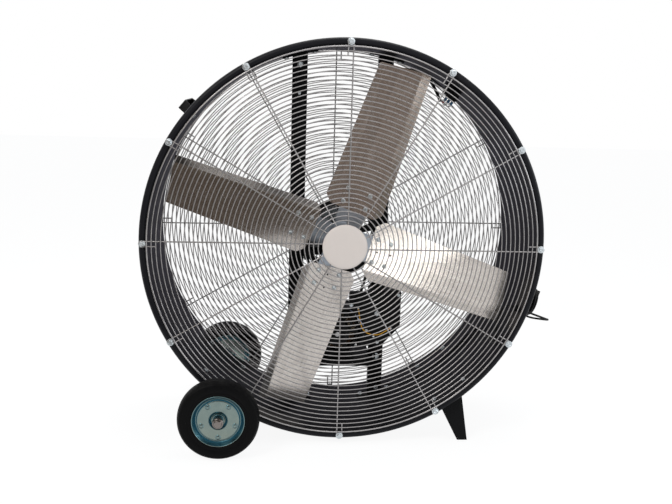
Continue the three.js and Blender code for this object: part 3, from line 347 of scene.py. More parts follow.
def run_tree(tree, values, helpers=()):
    """Runs a tree once with named values and returns its plain mesh."""
    host = bpy.data.objects.new("host", bpy.data.meshes.new("host"))
    bpy.context.scene.collection.objects.link(host)
    for helper in helpers:
        if helper.name not in bpy.context.scene.collection.objects:
            bpy.context.scene.collection.objects.link(helper)
    step = host.modifiers.new("Copies", "NODES")
    step.node_group = tree
    for item in tree.interface.items_tree:
        if item.item_type == "SOCKET" and item.in_out == "INPUT" and item.name in values:
            step[item.identifier] = values[item.name]
    view = bpy.context.evaluated_depsgraph_get()
    view.update()
    mesh = bpy.data.meshes.new_from_object(host.evaluated_get(view), depsgraph=view)
    host.modifiers.remove(step)
    empty = host.data
    bpy.data.objects.remove(host)
    bpy.data.meshes.remove(empty)
    for helper in helpers:
        data = helper.data
        bpy.data.objects.remove(helper)
        bpy.data.meshes.remove(data)
    mesh.materials.clear()
    return mesh


def guard_tree():
    """Rings of wire at an even pitch, an edge ring and hooked spokes."""
    tree, given = start_tree("Wire guard",
                             [("Rings", "int", 38), ("Outer Radius", "float", 0.609), ("Ring Pitch", "float", 0.0142),
                              ("Ring Wire", "float", 0.0017), ("Edge Wire", "float", 0.0024), ("Ring Level", "float", -0.2338),
                              ("Edge Level", "float", -0.2345), ("Hub Ring", "float", 0.06), ("Spokes", "int", 12),
                              ("Spoke Wire", "float", 0.0022), ("Spoke Line", "object", None), ("Finish", "material", None)])
    number = add_node(tree, "GeometryNodeInputIndex").outputs[0]
    turn = add_node(tree, "ShaderNodeCombineXYZ", {"X": pi / 2}).outputs[0]

    def circles(count, radius, wire, level):
        points = add_node(tree, "GeometryNodePoints", {"Count": count}).outputs[0]
        shift = add_node(tree, "ShaderNodeCombineXYZ", {"Y": level}).outputs[0]
        raised = add_node(tree, "GeometryNodeSetPosition", {"Geometry": points, "Offset": shift}).outputs[0]
        circle = add_node(tree, "GeometryNodeCurvePrimitiveCircle", {"Resolution": 168, "Radius": 1.0}).outputs[0]
        size = add_node(tree, "ShaderNodeCombineXYZ", {"X": radius, "Y": radius, "Z": radius}).outputs[0]
        lines = add_node(tree, "GeometryNodeInstanceOnPoints",
                         {"Points": raised, "Instance": circle, "Rotation": turn, "Scale": size}).outputs[0]
        real = add_node(tree, "GeometryNodeRealizeInstances", {0: lines}).outputs[0]
        even = add_node(tree, "GeometryNodeSetCurveRadius", {"Curve": real, "Radius": 1.0}).outputs[0]
        section = add_node(tree, "GeometryNodeCurvePrimitiveCircle", {"Resolution": 8, "Radius": wire}).outputs[0]
        return add_node(tree, "GeometryNodeCurveToMesh", {"Curve": even, "Profile Curve": section}).outputs[0]

    inner = add_node(tree, "ShaderNodeMath", {0: given["Rings"], 1: 1.0}, operation="SUBTRACT").outputs[0]
    step = add_node(tree, "ShaderNodeMath", {0: number, 1: 1.0}, operation="ADD").outputs[0]
    drop = add_node(tree, "ShaderNodeMath", {0: step, 1: given["Ring Pitch"]}, operation="MULTIPLY").outputs[0]
    radius = add_node(tree, "ShaderNodeMath", {0: given["Outer Radius"], 1: drop}, operation="SUBTRACT").outputs[0]
    rings = circles(inner, radius, given["Ring Wire"], given["Ring Level"])
    edge = circles(1, given["Outer Radius"], given["Edge Wire"], given["Edge Level"])
    hub = circles(1, given["Hub Ring"], given["Edge Wire"], given["Edge Level"])
    line = add_node(tree, "GeometryNodeObjectInfo", {"Object": given["Spoke Line"]}).outputs["Geometry"]
    curve = add_node(tree, "GeometryNodeMeshToCurve", {0: line}).outputs[0]
    section = add_node(tree, "GeometryNodeCurvePrimitiveCircle", {"Resolution": 10, "Radius": given["Spoke Wire"]}).outputs[0]
    spoke = add_node(tree, "GeometryNodeCurveToMesh", {"Curve": curve, "Profile Curve": section, "Fill Caps": True}).outputs[0]
    share = add_node(tree, "ShaderNodeMath", {0: number, 1: given["Spokes"]}, operation="DIVIDE").outputs[0]
    angle = add_node(tree, "ShaderNodeMath", {0: share, 1: 2 * pi}, operation="MULTIPLY").outputs[0]
    spin = add_node(tree, "ShaderNodeCombineXYZ", {"Y": angle}).outputs[0]
    feet = add_node(tree, "GeometryNodePoints", {"Count": given["Spokes"]}).outputs[0]
    spokes = add_node(tree, "GeometryNodeInstanceOnPoints", {"Points": feet, "Instance": spoke, "Rotation": spin}).outputs[0]
    joined = add_node(tree, "GeometryNodeJoinGeometry")
    for part in (rings, edge, hub, spokes):
        tree.links.new(part, joined.inputs[0])
    end_tree(tree, joined.outputs[0], given["Finish"])
    return tree


def round_axis_tree():
    """Copies of one item turned evenly round the Y axis."""
    tree, given = start_tree("Copies round an axis",
                             [("Item", "object", None), ("Copies", "int", 12), ("First Angle", "float", 0.0),
                              ("Finish", "material", None)])
    number = add_node(tree, "GeometryNodeInputIndex").outputs[0]
    share = add_node(tree, "ShaderNodeMath", {0: number, 1: given["Copies"]}, operation="DIVIDE").outputs[0]
    angle = add_node(tree, "ShaderNodeMath", {0: share, 1: 2 * pi, 2: given["First Angle"]}, operation="MULTIPLY_ADD").outputs[0]
    spin = add_node(tree, "ShaderNodeCombineXYZ", {"Y": angle}).outputs[0]
    item = add_node(tree, "GeometryNodeObjectInfo", {"Object": given["Item"], "As Instance": True}).outputs["Geometry"]
    points = add_node(tree, "GeometryNodePoints", {"Count": given["Copies"]}).outputs[0]
    copies = add_node(tree, "GeometryNodeInstanceOnPoints", {"Points": points, "Instance": item, "Rotation": spin}).outputs[0]
    end_tree(tree, copies, given["Finish"])
    return tree


def at_places_tree():
    """Copies of one item on places that hold a direction and a size."""
    tree, given = start_tree("Copies at places",
                             [("Item", "object", None), ("Places", "object", None), ("Finish", "material", None)])
    places = add_node(tree, "GeometryNodeObjectInfo", {"Object": given["Places"]}).outputs["Geometry"]
    item = add_node(tree, "GeometryNodeObjectInfo", {"Object": given["Item"], "As Instance": True}).outputs["Geometry"]
    aim = add_node(tree, "GeometryNodeInputNamedAttribute", {"Name": "aim"}, data_type="FLOAT_VECTOR").outputs[0]
    size = add_node(tree, "GeometryNodeInputNamedAttribute", {"Name": "size"}, data_type="FLOAT").outputs[0]
    turn = add_node(tree, "FunctionNodeAlignRotationToVector", {"Vector": aim}, axis="Z").outputs[0]
    copies = add_node(tree, "GeometryNodeInstanceOnPoints",
                      {"Points": places, "Instance": item, "Rotation": turn, "Scale": size}).outputs[0]
    end_tree(tree, copies, given["Finish"])
    return tree


def helper_of(name, piece):
    """A piece in millimetres as a helper object in metres, not moved to the fan axis."""
    piece.bm.transform(Matrix.Scale(MM, 4))
    mesh = bpy.data.meshes.new(name)
    piece.bm.to_mesh(mesh)
    piece.bm.free()
    mesh.polygons.foreach_set("use_smooth", [True] * len(mesh.polygons))
    mesh.set_sharp_from_angle(angle=radians(32))
    return bpy.data.objects.new(name, mesh)


def round_axis(name, piece, copies, finish, middle=(0, 0, 0), first=0.0):
    """One object of copies round an axis through a middle given in millimetres from the fan axis."""
    item = helper_of(name + "_item", piece)
    mesh = run_tree(trees["round"], {"Item": item, "Copies": copies, "First Angle": radians(first), "Finish": finish}, [item])
    mesh.transform(Matrix.Translation(FAN_AXIS + Vector(middle) * MM))
    return as_object(name, mesh, finish)


def bolts(name, spots, finish, across=13.0, height=6.0, flange=1.0):
    """One object of bolt heads at spots of (place, direction, size)."""
    piece = Piece()
    piece.bolt((0, 0, 0), (0, 0, 1), across, height, flange)
    item = helper_of(name + "_item", piece)
    mesh = bpy.data.meshes.new(name + "_places")
    mesh.from_pydata([FAN_AXIS + Vector(s[0]) * MM for s in spots], [], [])
    for label, kind in (("aim", "FLOAT_VECTOR"), ("size", "FLOAT")):
        mesh.attributes.new(label, kind, "POINT")
    for i, (_, direction, size) in enumerate(spots):
        mesh.attributes["aim"].data[i].vector = Vector(direction).normalized()
        mesh.attributes["size"].data[i].value = size
    places = bpy.data.objects.new(name + "_places", mesh)
    made = run_tree(trees["places"], {"Item": item, "Places": places, "Finish": finish}, [item, places])
    return as_object(name, made, finish)


# ---------- finishes ----------

# Filled by the Finishes step, for the steps that follow it.
finishes, groups, trees = {}, {}, {}


def blend(tree, share, first, second):
    """The output of a mix of two colours, each a socket or a plain value."""
    mix = tree.nodes.new("ShaderNodeMix")
    mix.data_type = "RGBA"
    for index, value in ((0, share), (6, first), (7, second)):
        if isinstance(value, bpy.types.NodeSocket):
            tree.links.new(value, mix.inputs[index])
        else:
            mix.inputs[index].default_value = value
    return mix.outputs[2]


def start_group(name, inputs, outputs):
    tree = bpy.data.node_groups.new(name, "ShaderNodeTree")
    for label, kind, default in inputs:
        socket = tree.interface.new_socket(label, in_out="INPUT", socket_type=SOCKET[kind])
        if default is not None:
            socket.default_value = default
    for label, kind in outputs:
        tree.interface.new_socket(label, in_out="OUTPUT", socket_type=SOCKET[kind])
    return tree, tree.nodes.new("NodeGroupInput").outputs


def colour_drift_group():
    """Two colours mixed by broad and fine cloudy noise."""
    tree, given = start_group("Colour drift",
                              [("Place", "vector", None), ("Colour", "color", (0.5, 0.5, 0.5, 1)),
                               ("Second", "color", (0.4, 0.4, 0.4, 1)), ("Scale", "float", 6.0), ("Amount", "float", 0.5)],
                              [("Colour", "color"), ("Mask", "float")])
    broad = add_node(tree, "ShaderNodeTexNoise",
                     {"Vector": given["Place"], "Scale": given["Scale"], "Detail": 4.0, "Roughness": 0.6})
    finer = add_node(tree, "ShaderNodeMath", {0: given["Scale"], 1: 9.0}, operation="MULTIPLY")
    fine = add_node(tree, "ShaderNodeTexNoise", {"Vector": given["Place"], "Scale": finer.outputs[0], "Detail": 3.0})
    both = add_node(tree, "ShaderNodeMath", {0: broad.outputs["Fac"], 1: fine.outputs["Fac"]}, operation="ADD")
    spread = add_node(tree, "ShaderNodeMapRange", {"Value": both.outputs[0], "From Min": 0.75, "From Max": 1.25})
    mask = add_node(tree, "ShaderNodeMath", {0: spread.outputs[0], 1: given["Amount"]}, operation="MULTIPLY")
    mixed = blend(tree, mask.outputs[0], given["Colour"], given["Second"])
    add_node(tree, "NodeGroupOutput", {"Colour": mixed, "Mask": spread.outputs[0]})
    return tree


def settled_dust_group():
    """A mask of dust on what faces up, broken up by noise."""
    tree, given = start_group("Settled dust", [("Place", "vector", None), ("Amount", "float", 0.2)], [("Mask", "float")])
    facing_up = add_node(tree, "ShaderNodeSeparateXYZ", {0: add_node(tree, "ShaderNodeNewGeometry").outputs["Normal"]})
    up = add_node(tree, "ShaderNodeMapRange", {"Value": facing_up.outputs["Z"], "From Min": 0.25, "From Max": 1.0})
    specks = add_node(tree, "ShaderNodeTexNoise", {"Vector": given["Place"], "Scale": 55.0, "Detail": 6.0, "Roughness": 0.7})
    broken = add_node(tree, "ShaderNodeMapRange", {"Value": specks.outputs["Fac"], "From Min": 0.4, "From Max": 0.7})
    both = add_node(tree, "ShaderNodeMath", {0: up.outputs[0], 1: broken.outputs[0]}, operation="MULTIPLY")
    mask = add_node(tree, "ShaderNodeMath", {0: both.outputs[0], 1: given["Amount"]}, operation="MULTIPLY")
    add_node(tree, "NodeGroupOutput", {"Mask": mask.outputs[0]})
    return tree


def surface_grain_group():
    """Heights of a fine grain over a slow waviness."""
    tree, given = start_group("Surface grain", [("Place", "vector", None), ("Grain", "float", 900.0), ("Waves", "float", 14.0)],
                              [("Height", "float")])
    fine = add_node(tree, "ShaderNodeTexNoise", {"Vector": given["Place"], "Scale": given["Grain"], "Detail": 2.0})
    slow = add_node(tree, "ShaderNodeTexNoise", {"Vector": given["Place"], "Scale": given["Waves"], "Detail": 1.0})
    half = add_node(tree, "ShaderNodeMath", {0: slow.outputs["Fac"], 1: 1.6, 2: fine.outputs["Fac"]}, operation="MULTIPLY_ADD")
    add_node(tree, "NodeGroupOutput", {"Height": half.outputs[0]})
    return tree


def drawn_lines_group():
    """Fine lines along the first coordinate, as rolling or brushing leaves them."""
    tree, given = start_group("Drawn lines", [("Place", "vector", None), ("Fineness", "float", 260.0)], [("Height", "float")])
    stretched = add_node(tree, "ShaderNodeVectorMath", {0: given["Place"], 1: (0.012, 1.0, 1.0)}, operation="MULTIPLY")
    lines = add_node(tree, "ShaderNodeTexNoise",
                     {"Vector": stretched.outputs[0], "Scale": given["Fineness"], "Detail": 5.0, "Roughness": 0.65})
    add_node(tree, "NodeGroupOutput", {"Height": lines.outputs["Fac"]})
    return tree


def finish(name, colour, second, metal=0.0, rough=0.45, spread=0.1, scale=6.0, amount=0.5, grain=900.0, waves=14.0, relief=0.1,
           dust=1.0, coat=0.0, drawn=None, pattern=None, shine=0.5):
    """A procedural finish: drifting colour and roughness, grain, drawn lines along an attribute and settled dust."""
    looks = bpy.context.scene.fan_looks
    material = bpy.data.materials.new(name)
    material.use_nodes = True
    tree = material.node_tree
    shader = tree.nodes["Principled BSDF"]
    place = add_node(tree, "ShaderNodeTexCoord").outputs["Object"]
    drift = add_node(tree, "ShaderNodeGroup", {}, node_tree=groups["drift"])
    tree.links.new(place, drift.inputs["Place"])
    drift.inputs["Colour"].default_value = (*colour, 1)
    drift.inputs["Second"].default_value = (*second, 1)
    drift.inputs["Scale"].default_value = scale
    drift.inputs["Amount"].default_value = amount * (0.5 + looks.wear)
    tint = drift.outputs["Colour"]
    bumps = add_node(tree, "ShaderNodeGroup", {}, node_tree=groups["grain"])
    tree.links.new(place, bumps.inputs["Place"])
    bumps.inputs["Grain"].default_value = grain
    bumps.inputs["Waves"].default_value = waves
    height = bumps.outputs["Height"]
    uneven = add_node(tree, "ShaderNodeMapRange",
                      {"Value": drift.outputs["Mask"], "To Min": max(rough - spread, 0.04),
                       "To Max": min(rough + spread, 1.0)}).outputs[0]
    if drawn:
        own = add_node(tree, "ShaderNodeAttribute", attribute_name=drawn).outputs["Vector"]
        lines = add_node(tree, "ShaderNodeGroup", {}, node_tree=groups["drawn"])
        tree.links.new(own, lines.inputs["Place"])
        height = add_node(tree, "ShaderNodeMath", {0: lines.outputs[0], 1: 2.2, 2: height}, operation="MULTIPLY_ADD").outputs[0]
        uneven = add_node(tree, "ShaderNodeMath", {0: lines.outputs[0], 1: 0.22, 2: uneven}, operation="MULTIPLY_ADD").outputs[0]
        streak = add_node(tree, "ShaderNodeMapRange",
                          {"Value": lines.outputs[0], "From Min": 0.3, "From Max": 0.7, "To Min": 0.86, "To Max": 1.06}).outputs[0]
        tint = add_node(tree, "ShaderNodeVectorMath", {0: tint, "Scale": streak}, operation="SCALE").outputs[0]
    if pattern:
        tint, height = pattern(tree, place, tint, height)
    dusty = add_node(tree, "ShaderNodeGroup", {}, node_tree=groups["dust"])
    tree.links.new(place, dusty.inputs["Place"])
    dusty.inputs["Amount"].default_value = looks.dust * dust
    tree.links.new(blend(tree, dusty.outputs[0], tint, DUST_COLOUR), shader.inputs["Base Color"])
    duller = add_node(tree, "ShaderNodeMath", {0: dusty.outputs[0], 1: 0.6, 2: uneven}, operation="MULTIPLY_ADD",
                      use_clamp=True).outputs[0]
    tree.links.new(duller, shader.inputs["Roughness"])
    clean = add_node(tree, "ShaderNodeMath", {0: dusty.outputs[0], 1: -metal, 2: metal}, operation="MULTIPLY_ADD",
                     use_clamp=True).outputs[0]
    tree.links.new(clean, shader.inputs["Metallic"])
    bump = add_node(tree, "ShaderNodeBump", {"Height": height, "Strength": relief, "Distance": 0.0006})
    tree.links.new(bump.outputs[0], shader.inputs["Normal"])
    shader.inputs["Coat Weight"].default_value = coat
    shader.inputs["Coat Roughness"].default_value = 0.22
    shader.inputs["Specular IOR Level"].default_value = shine
    return material


def copper_strands(tree, place, tint, height):
    """Bundles of enamelled wire as bumps, with painted shade darkening the grooves between them and a slight painted
    highlight on their crests.
    """
    own = add_node(tree, "ShaderNodeAttribute", attribute_name="wound").outputs["Vector"]
    wave = add_node(tree, "ShaderNodeTexWave",
                    {"Vector": own, "Scale": 0.55, "Distortion": 1.2, "Detail": 2.0, "Detail Scale": 1.5}, bands_direction="Y")
    # Painted shade and highlight: the colour falls to a quarter in the grooves and rises a little above it on the
    # crests.
    painted_shade = add_node(tree, "ShaderNodeMapRange", {"Value": wave.outputs["Fac"], "To Min": 0.25, "To Max": 1.15}).outputs[0]
    shade = add_node(tree, "ShaderNodeVectorMath", {0: tint, "Scale": painted_shade}, operation="SCALE").outputs[0]
    deep = add_node(tree, "ShaderNodeMath", {0: wave.outputs["Fac"], 1: 3.0, 2: height}, operation="MULTIPLY_ADD").outputs[0]
    return shade, deep


def passivation_and_painted_reflection(tree, place, tint, height):
    """Zinc passivation as a faint cloudy blue on the flats, and a painted reflection: blue where the sheet turns away
    from the axle's line.
    """
    clouds = add_node(tree, "ShaderNodeTexNoise", {"Vector": place, "Scale": 9.0, "Detail": 2.0})
    across = add_node(tree, "ShaderNodeSeparateXYZ", {0: add_node(tree, "ShaderNodeNewGeometry").outputs["Normal"]}).outputs["Y"]
    flat = add_node(tree, "ShaderNodeMath", {0: across}, operation="ABSOLUTE").outputs[0]
    # Painted reflection: the blue grows as the sheet turns away from the axle's line.
    turned = add_node(tree, "ShaderNodeMapRange", {"Value": flat, "From Min": 0.98, "From Max": 0.78}).outputs[0]
    cloudy = add_node(tree, "ShaderNodeMapRange",
                      {"Value": clouds.outputs["Fac"], "From Min": 0.3, "From Max": 0.7, "To Min": 0.0, "To Max": 0.15}).outputs[0]
    share = add_node(tree, "ShaderNodeMath", {0: turned, 1: cloudy}, operation="ADD", use_clamp=True).outputs[0]
    return blend(tree, share, tint, PASSIVATION_AND_REFLECTION_BLUE), height


class DRUMFAN_OT_finishes(bpy.types.Operator):
    """Make the finishes and the trees that copy small parts"""
    bl_idname = "drumfan.finishes"
    bl_label = "Finishes"

    def execute(self, context):
        looks = context.scene.fan_looks
        groups.update(drift=colour_drift_group(), dust=settled_dust_group(), grain=surface_grain_group(), drawn=drawn_lines_group())
        finishes.update(
            drum=finish("drum_paint", looks.drum_colour, (0.012, 0.012, 0.015), rough=0.34, spread=0.06, scale=3.0, grain=420,
                        waves=9, relief=0.16, shine=0.10),
            frame=finish("frame_powder_coat", (0.0045, 0.0045, 0.005), (0.0075, 0.0075, 0.008), rough=0.46, spread=0.08,
                         scale=8.0, grain=700, waves=20, relief=0.2, shine=0.07),
            wire=finish("guard_wire_plating", looks.wire_colour, (0.26, 0.255, 0.265), metal=0.95, rough=0.30, spread=0.1,
                        scale=7.0, amount=0.6, grain=1200, relief=0.08, dust=0.5),
            plate=finish("centre_plate_enamel", looks.plate_colour, (0.64, 0.575, 0.535), rough=0.42, spread=0.04, scale=9.0,
                         amount=0.4, grain=1100, waves=25, relief=0.05, coat=0.2, dust=0.3),
            blade=finish("blade_mill_aluminium", looks.blade_colour, (0.61, 0.565, 0.53), metal=1.0, rough=0.08, spread=0.03,
                         scale=4.0, amount=0.6, grain=300, waves=5, relief=0.004, drawn="along", dust=0.3),
            zinc=finish("bright_zinc", (0.62, 0.66, 0.68), (0.36, 0.40, 0.43), metal=0.95, rough=0.30, spread=0.08, scale=18.0,
                        grain=800, relief=0.12, dust=0.5),
            hub=finish("hub_zinc", (0.42, 0.46, 0.52), (0.27, 0.30, 0.35), metal=0.9, rough=0.36, spread=0.08, scale=12.0,
                       grain=500, relief=0.15, dust=0.5),
            # The wheel's pattern paints a blue reflection on the sloped faces of the pressing, over faint cloudy
            # passivation.
            wheel=finish("wheel_zinc", looks.wheel_colour, (0.17, 0.215, 0.20), metal=1.0, rough=0.30, spread=0.05, scale=6.0,
                         grain=900, waves=6, relief=0.03, dust=0.3, pattern=passivation_and_painted_reflection),
            tyre=finish("tyre_rubber", (0.0028, 0.0028, 0.003), (0.006, 0.006, 0.0065), rough=0.5, spread=0.12, scale=14.0,
                        grain=600, waves=30, relief=0.3, dust=0.5, shine=0.06),
            cap=finish("cap_steel", (0.24, 0.215, 0.20), (0.15, 0.135, 0.13), metal=1.0, rough=0.28, spread=0.08, scale=30.0,
                       grain=800, relief=0.1, dust=0.4),
            belt=finish("belt_rubber", (0.006, 0.006, 0.006), (0.012, 0.012, 0.012), rough=0.7, spread=0.1, scale=20.0,
                        grain=900, relief=0.3, shine=0.08),
            cord=finish("cord_jacket", (0.005, 0.005, 0.0055), (0.009, 0.009, 0.0095), rough=0.42, spread=0.08, scale=20.0,
                        grain=1200, relief=0.1, shine=0.12),
            steel=finish("turned_steel", (0.50, 0.50, 0.51), (0.36, 0.35, 0.35), metal=1.0, rough=0.34, spread=0.08, scale=16.0,
                         grain=900, relief=0.12),
            motor=finish("motor_enamel", (0.005, 0.005, 0.0055), (0.009, 0.009, 0.0095), rough=0.42, spread=0.08, scale=12.0,
                         grain=320, waves=40, relief=0.35, shine=0.1),
            cast=finish("cast_iron_paint", (0.006, 0.006, 0.0065), (0.011, 0.0105, 0.0105), rough=0.5, spread=0.1, scale=16.0,
                        grain=260, waves=50, relief=0.5, shine=0.1),
            copper=finish("winding_copper", (0.22, 0.115, 0.055), (0.11, 0.06, 0.032), metal=0.7, rough=0.38, spread=0.1,
                          scale=30.0, grain=900, relief=0.7, pattern=copper_strands),
            plastic=finish("moulded_plastic", (0.0045, 0.0045, 0.005), (0.0075, 0.0075, 0.008), rough=0.44, spread=0.06,
                           scale=14.0, grain=1000, waves=60, relief=0.3, shine=0.09),
            yellow=finish("yellow_wire", (0.75, 0.36, 0.01), (0.60, 0.27, 0.01), rough=0.4, scale=30.0),
            blue=finish("blue_wire", (0.015, 0.10, 0.21), (0.012, 0.075, 0.16), rough=0.4, scale=30.0),
            pale=finish("pale_wire", (0.42, 0.46, 0.60), (0.36, 0.40, 0.52), rough=0.4, scale=30.0),
            red=finish("red_wire", (0.45, 0.03, 0.03), (0.36, 0.02, 0.02), rough=0.4, scale=30.0),
            white=finish("white_wire", (0.75, 0.74, 0.72), (0.65, 0.64, 0.62), rough=0.4, scale=30.0),
            lacing=finish("winding_lacing", (0.55, 0.47, 0.34), (0.42, 0.35, 0.25), rough=0.8, scale=40.0, relief=0.4),
        )
        trees.update(guard=guard_tree(), round=round_axis_tree(), places=at_places_tree())
        return {"FINISHED"}


# ---------- camera and cord ----------

class DRUMFAN_OT_camera(bpy.types.Operator):
    """Set the camera at the photographed view"""
    bl_idname = "drumfan.camera"
    bl_label = "Camera"

    def execute(self, context):
        data = bpy.data.cameras.new("camera")
        data.lens, data.sensor_width = 47.03, 36.0
        yaw, pitch, roll = radians(4.609), radians(11.027), radians(1.661)
        right = Vector((cos(yaw), -sin(yaw), 0))
        forward = Vector((sin(yaw) * cos(pitch), cos(yaw) * cos(pitch), -sin(pitch)))
        up = right.cross(forward)
        level, raised = right * cos(roll) + up * sin(roll), up * cos(roll) - right * sin(roll)
        turn = Matrix((level, raised, -forward)).transposed().to_4x4()
        camera = bpy.data.objects.new("camera", data)
        camera.matrix_world = Matrix.Translation((-0.26385, -2.9030, 1.1598)) @ turn
        context.scene.collection.objects.link(camera)
        context.scene.camera = camera
        return {"FINISHED"}


def coil_line():
    line = []
    for i in range(289):
        turn = i / 48
        spiral = 6 - turn if turn > 3 else turn
        share = min(max((turn - 2.75) / 0.5, 0), 1)
        climb = share * share * (3 - 2 * share)
        radius, angle = COIL_RADIUS - COIL_STEP * spiral, 2 * pi * turn
        line.append(beside_coil(COIL_REACH + COIL_STEP * (0.5 - climb), COIL_LEVEL + radius * sin(angle), -radius * cos(angle)))
    return line


class DRUMFAN_OT_power_cord(bpy.types.Operator):
    """Make the free power cord with its coil and its plug"""
    bl_idname = "drumfan.power_cord"
    bl_label = "Power Cord"

    def execute(self, context):
        sizes = context.scene.fan_sizes
        coil = coil_line()
        back, on = (coil[0] - coil[1]).normalized(), (coil[-1] - coil[-2]).normalized()
        lead = [on_wall(617, GLAND_ANGLE, GLAND_LEVEL), on_wall(633, GLAND_ANGLE, GLAND_LEVEL),
                on_wall(651, GLAND_ANGLE, GLAND_LEVEL)]
        lead += [beside_coil(*p) for p in ((676, -185, -22.6), (700, -185, -23.5), (713, -182, -24.5), (723, -173, -26),
                                           (728.4, -162, -28.3), (729, -150, -31.4), (726.5, -138, -35), (719.5, -127.5, -38.8),
                                           (709, -120.5, -42.4), (697.8, -114.5, -45.6), (688.6, -106.5, -47.9))]
        lead = smooth_line(lead + [coil[0] + back * 9, coil[0]], 4)[:-1]
        tail = smooth_line([coil[-1], coil[-1] + on * 10, (626, -60, -252.5), (621, -32, -259), (615, -8, -272), (610, 8, -290),
                            (607, 17, -310), (606, 20, -330), (606, 20, -346)], 5)[1:]
        line = lead + coil + tail
        piece = Piece()
        piece.tube(line, sizes.cord_diameter / MM / 2, 10)
        flex = piece.made("power_cord", finishes["cord"], 60)
        piece = Piece()
        x, y, z = PLUG_NECK
        neck = [(3.4, 14), (6, 14), (6.2, 10), (6.2, 8.5), (5.2, 8), (5.2, 6.5), (6.6, 6), (6.8, 4), (5.8, 3.4), (5.8, 2),
                (7.6, 1.2), (9.2, -3), (12.4, -9), (13, -14), (13, -33.5), (12, -36), (0, -36), (0, -30), (3.4, 0)]
        piece.lathe(neck, 40, Matrix.Translation((x, y, z)) @ Matrix.Rotation(pi / 2, 4, "X"))
        for k in range(8):
            piece.prism(fillet([(-1.2, -28), (1.2, -28), (1.2, -14), (-1.2, -14)], 1), 12.6, 13.7,
                        Matrix.Translation((x, y, z)) @ Matrix.Rotation(k * pi / 4 + 0.39, 4, "Z"), bevel=0.3)
        for px in (-6.4, 6.4):
            piece.prism(fillet([(px - 0.8, -3.2), (px + 0.8, -3.2), (px + 0.8, 3.2), (px - 0.8, 3.2)], 0.3), -53, -35,
                        Matrix.Translation((x, y, z)), 1, 0.4, along="Z")
        piece.lathe(fillet([(0, 35), (2.4, 35), (2.4, 56), (0, 56)], [0, 0, 1.6, 0]), 16,
                    Matrix.Translation((x, y + 6.5, z)) @ Matrix.Rotation(-pi / 2, 4, "X"), 1)
        plug = piece.made("cord_plug", [finishes["plastic"], finishes["steel"]])
        exit_place = FAN_AXIS + on_wall(620, GLAND_ANGLE, GLAND_LEVEL) * MM
        placed(flex, "housing", "power_cord_lead", "power_cord_coil", "power_cord_tail")
        placed(plug, "housing", "plug")
        return {"FINISHED"}


# ---------- drum and guards ----------

class DRUMFAN_OT_drum(bpy.types.Operator):
    """Make the rolled drum with its beaded edges"""
    bl_idname = "drumfan.drum"
    bl_label = "Drum"

    def execute(self, context):
        def roll(side):
            end = math.degrees(math.acos((ROLL - 2) / ROLL)) - 180
            return [(r, side * y) for r, y in arc(ROLL, 180, end, 22, (RIM, HALF - ROLL))]
        piece = Piece()
        piece.lathe(roll(-1) + roll(1)[::-1], 192)
        piece.prism(fillet([(-16, 0), (16, 0), (16, 1.2), (-16, 1.2)], 0.3), -200, 200,
                    aimed(-90) @ Matrix.Translation((BORE - 1.1, 0, 0)) @ Matrix.Rotation(-pi / 2, 4, "Y"), bevel=0.3)
        drum = piece.made("drum", finishes["drum"], 40)
        placed(drum, "housing", "drum_shell")
        return {"FINISHED"}


